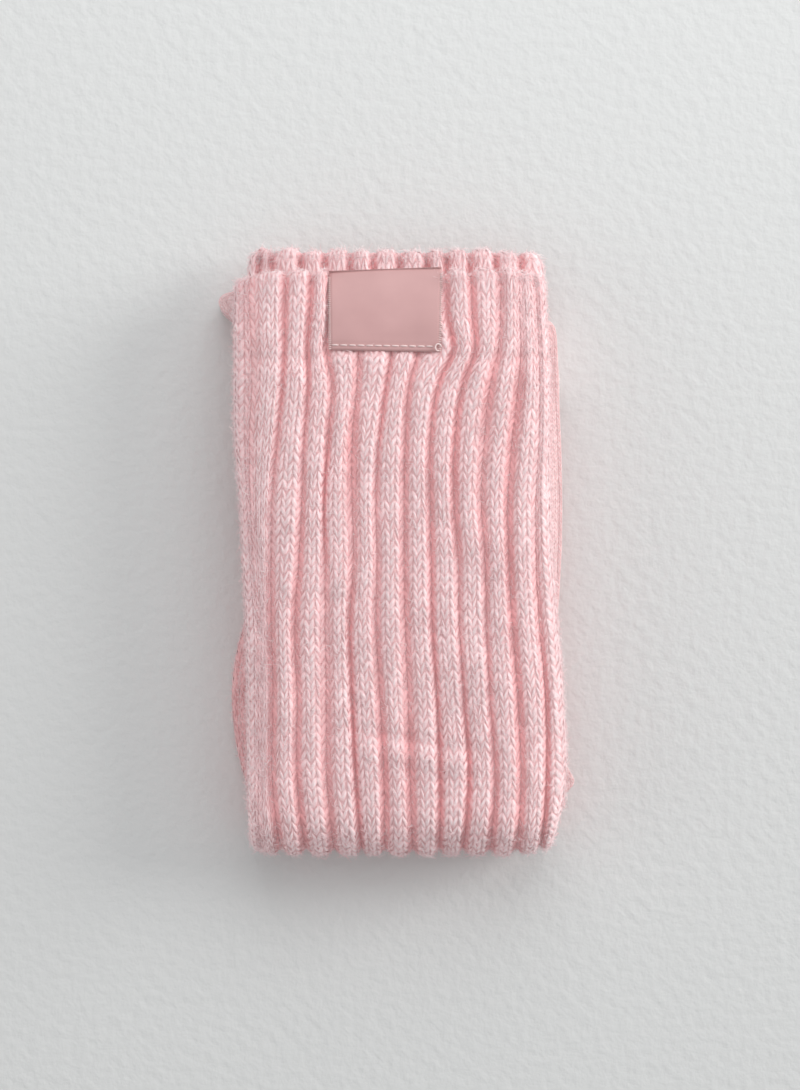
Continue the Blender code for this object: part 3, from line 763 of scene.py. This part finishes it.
second_sock = Leg(
    cuff_y=94.8,
    end_y=46.5,
    thick=SECOND_THICK,
    cuff_corners=((1.6, 1.5), (3.2, 2.0), (2.2, 4.0, 1.5)),
    rows=(SECOND_FURROWS, UNDER_SECOND, same_furrows(SECOND_FURROW_WIDTH), same_furrows(1.0)),
    depth_at=second_depth,
    ribs_at=lambda y: blend(*SECOND_OPENS, y),
    lift_at=lambda x, y: crease_at(x, y, TOP_CREASES),
    pressed_at=lambda x, y: np.zeros_like(y),
    seed=12,
)

SECOND_SHOWS, SECOND_BACK_SHOWS, SECOND_POCKET_DEEP = 27.0, 17.0, 24.0
EDGE_WALES_SHOW = 4

second_rows = rows_along(second_sock, SECOND_POCKET_DEEP)
second_leg = knit_backing("second_sock_leg_cloth", second_sock, columns_round(), second_rows, rib_cotton)
left_wales, right_wales = front_wales()[:EDGE_WALES_SHOW], front_wales()[-EDGE_WALES_SHOW:]
edge_wales = SIDE_WALES + left_wales + right_wales + OTHER_SIDE_WALES
second_end = second_sock.length - END_BARE
second_stitches = lay_layers(
    second_sock,
    # name, wales, start, end, strands, hidden box, seed
    ("second_sock_cuff_stitches", ALL_WALES, INSIDE_RIM, SECOND_SHOWS, PLUMP_STRANDS, None, 5),
    ("second_sock_edge_stitches", edge_wales, SECOND_SHOWS, second_end, PLAIN_STRANDS, None, 6),
    ("second_sock_back_stitches", back_wales, INSIDE_RIM, SECOND_BACK_SHOWS, PLAIN_STRANDS, None, 7),
)
for piece in [second_leg, *second_stitches]:
    put_down(piece, "rib_knit", "second_sock_leg")

# ---- The feet ----------------------------------------------------------------------------------------
# Plain fine knit of the same cotton: the heels, soles and toes of both socks, folded in between the legs.
# A thin fold of them shows along the right edge, and their end stands on the surface behind the legs.

FEET_GAP, FOLDED_HIGH, THINNEST_PLY = 1.0, 12.9, 0.6
FEET_LEAN, FEET_LEANS = 0.09, (52.0, 79.2)
PLY_WAVES, PLY_UNEVEN = ((0.5, 9.0), (0.3, 4.1)), 0.4
# Painted shade: the colour deepens in the grooves between the plies and on the backing seen between the fine
# stitches.
FOOT_TOP_CREST, PLY_GROOVE_PAINTED_SHADE, PLY_BULGE_CREST = 0.95, 0.55, 0.4

FEET_FOLD_EDGES = (
    # y,   left, right
    (-80.5, -38, 42),
    (-79.3, -43.5, 48),
    (-77, -45.8, 54.2),
    (-74, -46.5, 56.6),
    (-69, -47, 53.6),
    (-62, -47, 50.2),
    (-45, -47, 49.3),
    (-28, -47, 49.8),
    (-14, -47, 51.2),
    (0, -47, 52),
    (17, -47, 52.4),
    (34, -47, 51.8),
    (49, -47.2, 51.2),
    (60, -47.6, 50.9),
    (68, -49.5, 50.8),
    (71, -54.5, 50.7),
    (73.5, -58, 50.6),
    (76, -58.8, 50.3),
    (78, -57, 49.5),
    (79.2, -53, 47),
)
FEET_END_EDGES = (
    # y,   left, right
    (49.2, -47.2, 51.2),
    (60, -47.6, 50.9),
    (68, -49.5, 50.6),
    (71, -54.5, 50.4),
    (73.5, -58, 50.3),
    (76, -58.8, 50.1),
    (78, -57, 49.3),
    (79.2, -53, 47),
)


def foot_outline(edges, spacing=1.0, rounding=3):
    """Evenly spaced points round folded plies seen from above, clockwise from the lower left."""
    corners = [(left, y) for y, left, _ in edges] + [(right, y) for y, _, right in reversed(edges)]
    line = np.array([*corners, corners[0]], float)
    line[:, 1] -= FEET_LEAN * blend(*FEET_LEANS, line[:, 1]) * line[:, 0]
    run = np.concatenate([[0], np.cumsum(np.linalg.norm(np.diff(line, axis=0), axis=1))])
    at = np.linspace(0, run[-1], int(run[-1] / spacing) + 1)[:-1]
    even = np.column_stack([np.interp(at, run, line[:, k]) for k in (0, 1)])
    for _ in range(rounding):
        even = (np.roll(even, 1, axis=0) + 2 * even + np.roll(even, -1, axis=0)) / 4
    return even


class FoldedFoot:
    """Folded plies. s runs round their edge, and u from the top face, where it is below 0, down the plies."""

    def __init__(self, edges, low, high, plies, groove, seed):
        self.low, self.high, self.plies, self.groove = low, high, plies, groove
        self.ring = foot_outline(edges)
        steps = np.linalg.norm(np.roll(self.ring, -1, axis=0) - self.ring, axis=1)
        self.places = np.concatenate([[0], np.cumsum(steps)])
        self.length = self.places[-1]
        along = np.roll(self.ring, -1, axis=0) - np.roll(self.ring, 1, axis=0)
        along /= np.linalg.norm(along, axis=1, keepdims=True)
        self.out = np.column_stack([-along[:, 1], along[:, 0]])
        self.phases = np.random.default_rng(seed).uniform(0, 2 * math.pi, (2, plies + 1))

    def top_at(self, x, y):
        crown = smooth_rows(TOP_LINE, y)[:, 0] + second_depth(y) - SECOND_THICK - FEET_GAP
        return np.clip(crown - droop_at(x), self.low + THINNEST_PLY, self.high)

    def surface(self, u, s):
        s = np.mod(s, self.length)
        place, out = (
            np.column_stack([np.interp(s, self.places, np.append(values[:, k], values[0, k])) for k in (0, 1)])
            for values in (self.ring, self.out)
        )
        ply = np.clip(np.floor(u), 0, self.plies - 1).astype(int)
        across = np.clip(u - ply, 0, 1)
        bulge = np.sqrt(np.clip(1 - (2 * across - 1) ** 2, 0, 1))
        waves = zip(PLY_WAVES, self.phases)
        uneven = sum(most * np.sin(s / length + phases[ply]) for (most, length), phases in waves)
        inset = self.groove * (1 - bulge) - self.groove * PLY_UNEVEN * uneven * bulge + np.maximum(-u, 0)
        spot = place - out * inset[:, None]
        top = self.top_at(spot[:, 0], spot[:, 1])
        z = top - (top - self.low) * np.clip(u, 0, self.plies) / self.plies
        # Painted shade: deeper colour in the grooves between plies.
        crest = np.where(u < 0, FOOT_TOP_CREST, PLY_GROOVE_PAINTED_SHADE + PLY_BULGE_CREST * bulge)
        return np.column_stack([spot[:, 0] + SHIFT, spot[:, 1], z]), crest

    def normals(self, u, s):
        return outward_normals(self.surface, u, s, du=0.03, ds=0.08)


CAP_SHARES = (0.8, 0.55, 0.3, 0.08)
FOOT_COLUMN, PLY_ROWS = 1.2, 8
FOOT_GAP_PAINTED_SHADE, FOOT_SHADE = 0.6, 0.4


def foot_backing(name, foot, margin, material):
    """The folded plies as one closed skin. Rings that shrink to its middle close its top and underside."""
    plies = np.linspace(0, foot.plies, foot.plies * PLY_ROWS + 1)
    around = np.concatenate([np.linspace(-margin, 0, PLY_ROWS + 1)[:-1], plies])
    along = np.arange(int(foot.length / FOOT_COLUMN)) * foot.length / int(foot.length / FOOT_COLUMN)
    u, s = (grid.ravel() for grid in np.meshgrid(around, along, indexing="ij"))
    points, crest = foot.surface(u, s)
    points = points - BACKING_DEPTH * foot.normals(u, s)
    ring = len(along)
    first, last = points[:ring], points[-ring:]
    middle = (first.mean(axis=0), last.mean(axis=0))
    over = [middle[0] + share * (first - middle[0]) for share in reversed(CAP_SHARES)]
    for cap in over:
        cap[:, 2] = foot.top_at(cap[:, 0] - SHIFT, cap[:, 1]) - BACKING_DEPTH
    beneath = [middle[1] + share * (last - middle[1]) for share in CAP_SHARES]
    points = np.concatenate([*over, points, *beneath])
    points[:, 2] = np.maximum(points[:, 2], 0.0)
    # Painted shade: the backing, seen between the fine stitches, is deepened.
    crest = np.concatenate([np.ones(ring * len(over)), crest, np.ones(ring * len(beneath))]) * FOOT_GAP_PAINTED_SHADE
    shade = np.full(len(points), FOOT_SHADE)
    faces = grid_faces(len(points) // ring, ring, closed=True).tolist()
    faces += [list(range(ring))[::-1], list(range(len(points) - ring, len(points)))]
    return add_mesh(name, points, faces, material, crest=crest, shade=shade, yarn=points)


FINE_COURSE, FINE_WALE, FEET_MARGIN = 1.3, 1.35, 5.4


def fine_wales(foot):
    """Wales from the margin of the top face to the lowest ply, two to a ply."""
    over = np.arange(-round(FEET_MARGIN / FINE_WALE), 1) * FINE_WALE
    borders = np.concatenate([over, np.arange(1, foot.plies * 2 + 1) / 2])
    return list(zip(borders[:-1], borders[1:]))


plain_cotton = cotton_material(
    "pink_plain_cotton", bump=0.5, pale=(0.95, 0.77, 0.77), deep=(0.90, 0.50, 0.50), white=(0.97, 0.89, 0.89)
)
for title, node_edges, low, high, plies, groove, feet_seed in (
    # name, edges, lowest, highest, plies, depth of the grooves between them, seed
    ("feet_fold", FEET_FOLD_EDGES, FOLDED_HIGH, STACK_HEIGHT, 1, 0.5, 21),
    ("feet_end", FEET_END_EDGES, 0.0, FOLDED_HIGH - 0.3, 4, 1.1, 22),
):
    foot = FoldedFoot(node_edges, low, high, plies, groove, feet_seed)
    plies_skin = foot_backing(title, foot, FEET_MARGIN, plain_cotton)
    fine_stitches = lay_stitches(
        f"{title}_stitches",
        foot,
        fine_wales(foot),
        courses_between(0.0, foot.length - FINE_COURSE, FINE_COURSE),
        plain_cotton,
        course=FINE_COURSE,
        seed=feet_seed,
    )
    put_down(plies_skin, "plain_knit", "folded_feet")
    put_down(fine_stitches, "plain_knit", "folded_feet")

# ---- The label ---------------------------------------------------------------------------------------
# A dusty rose satin ribbon, folded over the top sock's cuff: its front lies on the ribs, and its back goes
# down inside the sock. Its lower edge is turned under into a narrow hem.

LABEL_SIDES = (
    # y,   left, right
    (63.2, -22.1, 12.5),
    (90, -22.5, 13.2),
)
LABEL_FRONT_Y, LABEL_BACK_Y, LABEL_THICK = 63.2, 66.0, 0.32
LABEL_LEVEL, LABEL_BACK_LEVEL = 2.35, -2.6
LABEL_HEM, LABEL_RIM, LABEL_TURN = 1.5, 2.1, 0.12
LABEL_CROWN, LABEL_TILT_TOP, LABEL_TILT_LOW = 0.5, 1.3, 0.7
HEM_THICKER, HEM_STEPS_OVER = 0.12, 0.3
SEWN_DOWN, SEAM_WIDTH, LOWER_EDGE_DROP, EDGE_DROPS_OVER = 0.35, 0.8, 0.5, 0.5

LABEL_WAVES = (
    # x, y, half length, half width, angle in degrees, height
    (-16, 68.5, 5, 4, 20, 0.35),
    (-6, 76, 12, 5, 8, -0.35),
    (10, 72, 5, 6, 60, 0.3),
    (2, 66.5, 9, 2.5, 0, -0.25),
)


def label_point(across, y, level):
    """A place on the label: across is 0 at its left edge and 1 at its right."""
    left, right = smooth_rows(LABEL_SIDES, y).T
    x = left + across * (right - left)
    crown = LABEL_CROWN * np.sin(math.pi * across) * blend(LABEL_FRONT_Y - 1, 76, y)
    crown = crown + crease_at(x, y, LABEL_WAVES) - label_bend(y)
    tilt = (across - 0.5) * LABEL_TILT_TOP * blend(66, 88, y)
    tilt = tilt - (across - 0.5) * LABEL_TILT_LOW * (1 - blend(62, 70, y))
    z = smooth_rows(TOP_LINE, y)[:, 0] + level + np.where(level > 0, crown, 0) - droop_at(x)
    return np.column_stack([x + SHIFT, y + tilt, z])


def label_path():
    """y and level of the ribbon's outer face, from its lower edge over the rim to its hidden back."""
    front = np.linspace(LABEL_FRONT_Y, top_sock.cuff_y + LABEL_RIM, 30)
    hem_y = LABEL_FRONT_Y + LABEL_HEM
    hem = HEM_THICKER * blend(hem_y, hem_y - HEM_STEPS_OVER, front)
    pressed = -SEWN_DOWN * np.exp(-(((front - LABEL_FRONT_Y - LABEL_HEM) / SEAM_WIDTH) ** 2))
    edge = -LOWER_EDGE_DROP * blend(LABEL_FRONT_Y + EDGE_DROPS_OVER, LABEL_FRONT_Y, front)
    path = [(y, LABEL_LEVEL + up) for y, up in zip(front, hem + pressed + edge)]
    middle, radius = (LABEL_LEVEL + LABEL_BACK_LEVEL) / 2, (LABEL_LEVEL - LABEL_BACK_LEVEL) / 2
    rim_y = top_sock.cuff_y + LABEL_RIM
    for degrees in range(80, -81, -10):
        angle = math.radians(degrees)
        turned_y = rim_y + LABEL_TURN * math.cos(angle) - max(-math.sin(angle), 0) ** 3
        path.append((turned_y, middle + radius * math.sin(angle)))
    path += [(y, LABEL_BACK_LEVEL) for y in np.linspace(rim_y - 1, LABEL_BACK_Y, 10)]
    return np.array(path)


SATIN_SURFACE = {"Roughness": 0.52, "Specular IOR Level": 0.36, "Anisotropic": 0.4, "Sheen Weight": 0.15}


def satin():
    """Woven satin: fine cross ribs, a low even shine that softens along the weave, and a slight bloom."""
    material, nodes, link, shader = new_material("rose_satin", SATIN_SURFACE)
    place = new_node(nodes, "TexCoord")
    threads = new_node(nodes, "TexWave", {"Scale": 900.0, "Distortion": 0.6}, bands_direction="Y")
    clouds = new_node(nodes, "TexNoise", {"Scale": 90.0, "Detail": 3.0})
    tones = {"A": (0.55, 0.315, 0.308, 1.0), "B": (0.65, 0.385, 0.378, 1.0)}
    tone = new_node(nodes, "Mix", tones, data_type="RGBA")
    blur = new_node(nodes, "Math", {1: 0.25}, operation="MULTIPLY_ADD")
    link(place.outputs["Object"], threads.inputs["Vector"])
    link(place.outputs["Object"], clouds.inputs["Vector"])
    link(threads.outputs["Fac"], blur.inputs[0])
    link(clouds.outputs["Fac"], blur.inputs[2])
    link(blur.outputs[0], tone.inputs["Factor"])
    link(tone.outputs["Result"], shader.inputs["Base Color"])
    add_relief(nodes, link, threads.outputs["Fac"], shader, 0.12, 0.1)
    return material


LABEL_COLUMNS = 30
rose_satin = satin()
path = label_path()
columns = np.linspace(0, 1, LABEL_COLUMNS + 1)
across, step = (grid.ravel() for grid in np.meshgrid(columns, np.arange(len(path))))
ribbon = add_mesh(
    "label_ribbon",
    label_point(across, path[step, 0], path[step, 1]),
    grid_faces(len(path), LABEL_COLUMNS + 1, closed=False),
    rose_satin,
)
ribbon_thickness = ribbon.modifiers.new("ribbon", "SOLIDIFY")
ribbon_thickness.thickness = LABEL_THICK * MM
ribbon_thickness.offset = -1.0
put_down(ribbon, "satin_ribbon", "label")

# ---- The label's thread -------------------------------------------------------------------------------
# Pale cotton sewing thread: one row of stitches through the hem, ending in a small knotted loop at the
# right, and the ribbon's cut edges caught down by a close row of tiny oversewn loops.

THREAD_ROW_Y, THREAD_STITCH, THREAD_GAP, THREAD_THICK = 64.9, 2.2, 0.5, 0.5
THREAD_BEGINS, THREAD_SINKS = 0.6, 0.3
EDGE_LOOP_PITCH, EDGE_LOOP, EDGE_LOOP_BEGINS, EDGE_LOOP_REACH = 0.66, 0.36, 0.4, 0.45


def thread_tubes(name, lines, thickness, material, sides=6):
    """Short lengths of thread along lines of points, tapered at both ends, as one joined mesh."""
    points, faces = [], []
    for line in lines:
        line = np.array(line, float)
        along = np.gradient(line, axis=0)
        along /= np.linalg.norm(along, axis=1, keepdims=True)
        level = np.cross(along, (0, 0, 1.0))
        level /= np.maximum(np.linalg.norm(level, axis=1, keepdims=True), 1e-6)
        up = np.cross(level, along)
        share = np.linspace(0, 1, len(line))
        radius = thickness / 2 * np.clip(np.sin(math.pi * (0.08 + 0.84 * share)) * 2.2, 0, 1)
        start = sum(len(group) for group in points)
        for turn in np.arange(sides) * 2 * math.pi / sides:
            points.append(line + (level * math.cos(turn) + up * math.sin(turn)) * radius[:, None])
        count = len(line)
        for k in range(sides):
            one, other = start + k * count, start + (k + 1) % sides * count
            faces += [(one + j, one + j + 1, other + j + 1, other + j) for j in range(count - 1)]
        faces.append([start + k * count for k in range(sides)])
        faces.append([start + k * count + count - 1 for k in reversed(range(sides))])
    points = np.concatenate(points)
    yarn = points[:, [1, 0, 2]] * 1.5
    ones = np.ones(len(points))
    return add_mesh(name, points, faces, material, crest=ones, shade=ones * 0.5, yarn=yarn)


thread_cotton = cotton_material(
    "pale_sewing_thread", bump=0.4, pale=(0.84, 0.66, 0.64), deep=(0.70, 0.45, 0.44), white=(0.86, 0.72, 0.70)
)
row_y = np.full(5, THREAD_ROW_Y)
label_width = LABEL_SIDES[0][2] - LABEL_SIDES[0][1]
stitch_count = int(label_width / (THREAD_STITCH + THREAD_GAP))
hem_lines = []
for k in range(stitch_count):
    begin = (k * (THREAD_STITCH + THREAD_GAP) + THREAD_BEGINS) / label_width
    bow = np.array([0.05, 0.24, 0.28, 0.24, 0.05])
    places = begin + np.linspace(0, THREAD_STITCH, 5) / label_width
    hem_lines.append(label_point(places, row_y, LABEL_LEVEL - THREAD_SINKS + bow))
edge_lines = []
for side in (0.0, 1.0):
    for y in np.arange(LABEL_FRONT_Y + EDGE_LOOP_BEGINS, top_sock.cuff_y, EDGE_LOOP_PITCH):
        reach = np.array([-EDGE_LOOP_REACH, 0.0, EDGE_LOOP_REACH]) / label_width
        loop = LABEL_LEVEL + np.array([-0.1, 0.2, -0.05])
        edge_lines.append(label_point(side + reach, np.full(3, y), loop))
knot_turns = np.linspace(0, 1.6 * math.pi, 12)
knot = np.column_stack([np.cos(knot_turns) * 0.9, np.sin(knot_turns) * 1.1, 0.25 + 0.05 * knot_turns])
knot_place = label_point(np.array([0.985]), np.array([THREAD_ROW_Y - 0.3]), np.array([LABEL_LEVEL]))
hem_thread = thread_tubes("label_hem_thread", hem_lines + [knot + knot_place], THREAD_THICK, thread_cotton)
edge_thread = thread_tubes("label_edge_thread", edge_lines, EDGE_LOOP, thread_cotton, sides=5)
for piece in (hem_thread, edge_thread):
    put_down(piece, "satin_ribbon")

# ---- The loose fibres ----------------------------------------------------------------------------------
# The brushed yarn's fine fibres stand off the knit all over. They lie mostly along the cloth, and show best
# round its outline, as a soft pale haze.

FIBRE_WIDTH, FIBRE_LENGTH, FIBRE_LENGTH_SPREAD, FIBRE_LONGEST = 0.09, 1.4, 0.45, 3.2
FIBRE_ROOT, FIBRE_RISES, FIBRE_TURNS, FIBRE_FALLS = 0.2, 1.2, 0.45, 0.5


def fibre_material():
    material, nodes, link, shader = new_material("loose_cotton_fibre", {"Roughness": 0.8, "Sheen Weight": 0.6})
    shade = new_node(nodes, "Attribute", attribute_name="shade")
    tones = {"A": (0.93, 0.66, 0.68, 1.0), "B": (0.97, 0.88, 0.88, 1.0)}
    tone = new_node(nodes, "Mix", tones, data_type="RGBA")
    link(shade.outputs["Fac"], tone.inputs["Factor"])
    link(tone.outputs["Result"], shader.inputs["Base Color"])
    return material


def loose_fibres(name, leg, areas, seed, hidden=None):
    """Bent hairs of two lengths each, as one joined mesh. An area is (count, u range, s range, stand), where
    stand is how steeply its fibres rise, from 0 to 1. None grow in the hidden box, under the label."""
    random = np.random.default_rng(seed)
    roots, outward, stands = [], [], []
    for count, u_range, s_range, stand in areas:
        u, s = random.uniform(*u_range, count), random.uniform(*s_range, count)
        out = leg.normals(u, s)
        roots.append(leg.surface(u, s)[0] + out * FIBRE_ROOT)
        outward.append(out)
        stands.append(random.uniform(0.1, 1.0, count) * stand)
    roots, outward, stands = np.concatenate(roots), np.concatenate(outward), np.concatenate(stands)[:, None]
    if hidden is not None:
        inside = np.all((roots[:, :2] > hidden[0]) & (roots[:, :2] < hidden[1]), axis=1)
        free = ~(inside & (roots[:, 2] > STACK_HEIGHT / 2))
        roots, outward, stands = roots[free], outward[free], stands[free]
    count = len(roots)
    loose = random.normal(size=(2, count, 3))
    flat = loose - (loose * outward).sum(axis=2, keepdims=True) * outward
    flat /= np.linalg.norm(flat, axis=2, keepdims=True)
    length = random.lognormal(math.log(FIBRE_LENGTH), FIBRE_LENGTH_SPREAD, (count, 1))
    length = np.minimum(length, FIBRE_LONGEST)
    first = flat[0] + outward * stands * FIBRE_RISES
    second = flat[0] + FIBRE_TURNS * flat[1] + outward * (stands * FIBRE_RISES - FIBRE_FALLS)
    first, second = (way / np.linalg.norm(way, axis=1, keepdims=True) for way in (first, second))
    bend = roots + first * length * 0.5
    line = np.stack([roots, bend, bend + second * length * 0.5], axis=1)
    side = np.cross(first, random.normal(size=(count, 3)))
    side *= FIBRE_WIDTH / 2 / np.linalg.norm(side, axis=1, keepdims=True)
    points = np.stack([line - side[:, None], line + side[:, None]], axis=2).reshape(-1, 3)
    points[:, 2] = np.maximum(points[:, 2], 0.0)
    faces = grid_faces(3, 2, closed=False)
    faces = (faces[None] + (np.arange(count) * 6)[:, None, None]).reshape(-1, 4)
    return add_mesh(name, points, faces, pale_fibre, shade=np.repeat(random.uniform(0, 1, count), 6))


pale_fibre = fibre_material()
turn_s = (top_sock.upper + 4.0, top_sock.upper + top_sock.fold - 4.0)
top_under_s = (top_sock.upper + top_sock.fold, top_sock.length - 4.0)
second_under_s = (second_sock.upper + second_sock.fold, second_sock.length - 4.0)
TOP_AREAS = (
    # count, u range, s range, stand
    (22000, (0.0, RIBS), (0.0, top_sock.upper), 0.35),
    (5000, (-0.8, 0.3), (-2.0, top_sock.upper), 0.9),
    (5000, (RIBS - 0.3, RIBS + 0.8), (-2.0, top_sock.upper), 0.9),
    (2500, (0.0, RIBS), (-4.0, 1.0), 0.9),
    (6000, (0.0, RIBS), turn_s, 0.9),
    (2500, (-0.8, RIBS + 0.8), top_under_s, 0.3),
    (800, (-1.0, 0.4), top_under_s, 0.9),
)
SECOND_AREAS = (
    # count, u range, s range, stand
    (2500, (0.0, RIBS), (0.0, 12.0), 0.7),
    (3000, (0.0, RIBS), (-4.0, 1.0), 0.9),
    (1200, (-0.9, 0.2), (-2.0, second_sock.upper), 0.9),
    (1200, (RIBS - 0.2, RIBS + 0.9), (-2.0, second_sock.upper), 0.9),
    (1200, (-1.0, 0.2), second_under_s, 0.9),
    (1200, (RIBS - 0.2, RIBS + 1.0), second_under_s, 0.9),
)
top_fibres = loose_fibres("top_sock_fibres", top_sock, TOP_AREAS, seed=31, hidden=UNDER_LABEL)
second_fibres = loose_fibres("second_sock_fibres", second_sock, SECOND_AREAS, seed=32)
for piece in (top_fibres, second_fibres):
    put_down(piece, "rib_knit")

# ---- The floor, the light and the camera --------------------------------------------------------------
# A plain white surface, lightly rough like painted plaster, lit by one wide soft lamp from the right, by a
# nearer one from the top, by a pale wall at the left and by the room. The camera looks straight down.


def floor_material():
    surface = {"Base Color": (0.745, 0.755, 0.745, 1.0), "Roughness": 0.9}
    material, nodes, link, shader = new_material("white_plaster", surface)
    place = new_node(nodes, "TexCoord")
    grain = new_node(nodes, "TexNoise", {"Scale": 260.0, "Detail": 5.0})
    link(place.outputs["Object"], grain.inputs["Vector"])
    add_relief(nodes, link, grain.outputs["Fac"], shader, 0.75, 0.6)
    return material


FLOOR_SIZE = 3000.0
corners = np.array([(-1, -1, 0), (1, -1, 0), (1, 1, 0), (-1, 1, 0)], float) * FLOOR_SIZE / 2
floor = add_mesh("floor", corners - (0, 0, 0.02), np.array([[0, 1, 2, 3]]), floor_material())


def add_light(name, place, size, power, colour):
    lamp = bpy.data.lights.new(name, "AREA")
    lamp.shape, lamp.size, lamp.energy, lamp.color = "DISK", size, power, colour
    light = bpy.data.objects.new(name, lamp)
    light.location = place
    light.rotation_mode = "QUATERNION"
    light.rotation_quaternion = (-light.location).to_track_quat("-Z", "Y")
    bpy.context.scene.collection.objects.link(light)


add_light("window", (2.2, 0.66, 0.85), 1.3, 36.5, (1.0, 0.985, 0.97))
add_light("skylight", (0.1, 0.62, 0.55), 0.8, 2.75, (0.98, 0.99, 1.0))
add_light("wall_bounce", (-1.5, -0.1, 0.6), 1.4, 4.2, (1.0, 0.95, 0.94))
world = bpy.data.worlds.new("pale_room")
world.use_nodes = True
background = world.node_tree.nodes["Background"]
background.inputs["Color"].default_value = (0.97, 0.98, 1.0, 1.0)
background.inputs["Strength"].default_value = 0.47
bpy.context.scene.world = world
bpy.context.scene.view_settings.view_transform = "Standard"

CAMERA_X, CAMERA_Y, CAMERA_Z = 1.2, 2.2, 841.0
view = bpy.data.cameras.new("camera")
view.lens, view.sensor_width = 85.0, 36.0
camera = bpy.data.objects.new("camera", view)
camera.location = (CAMERA_X * MM, CAMERA_Y * MM, CAMERA_Z * MM)
bpy.context.scene.collection.objects.link(camera)
bpy.context.scene.camera = camera
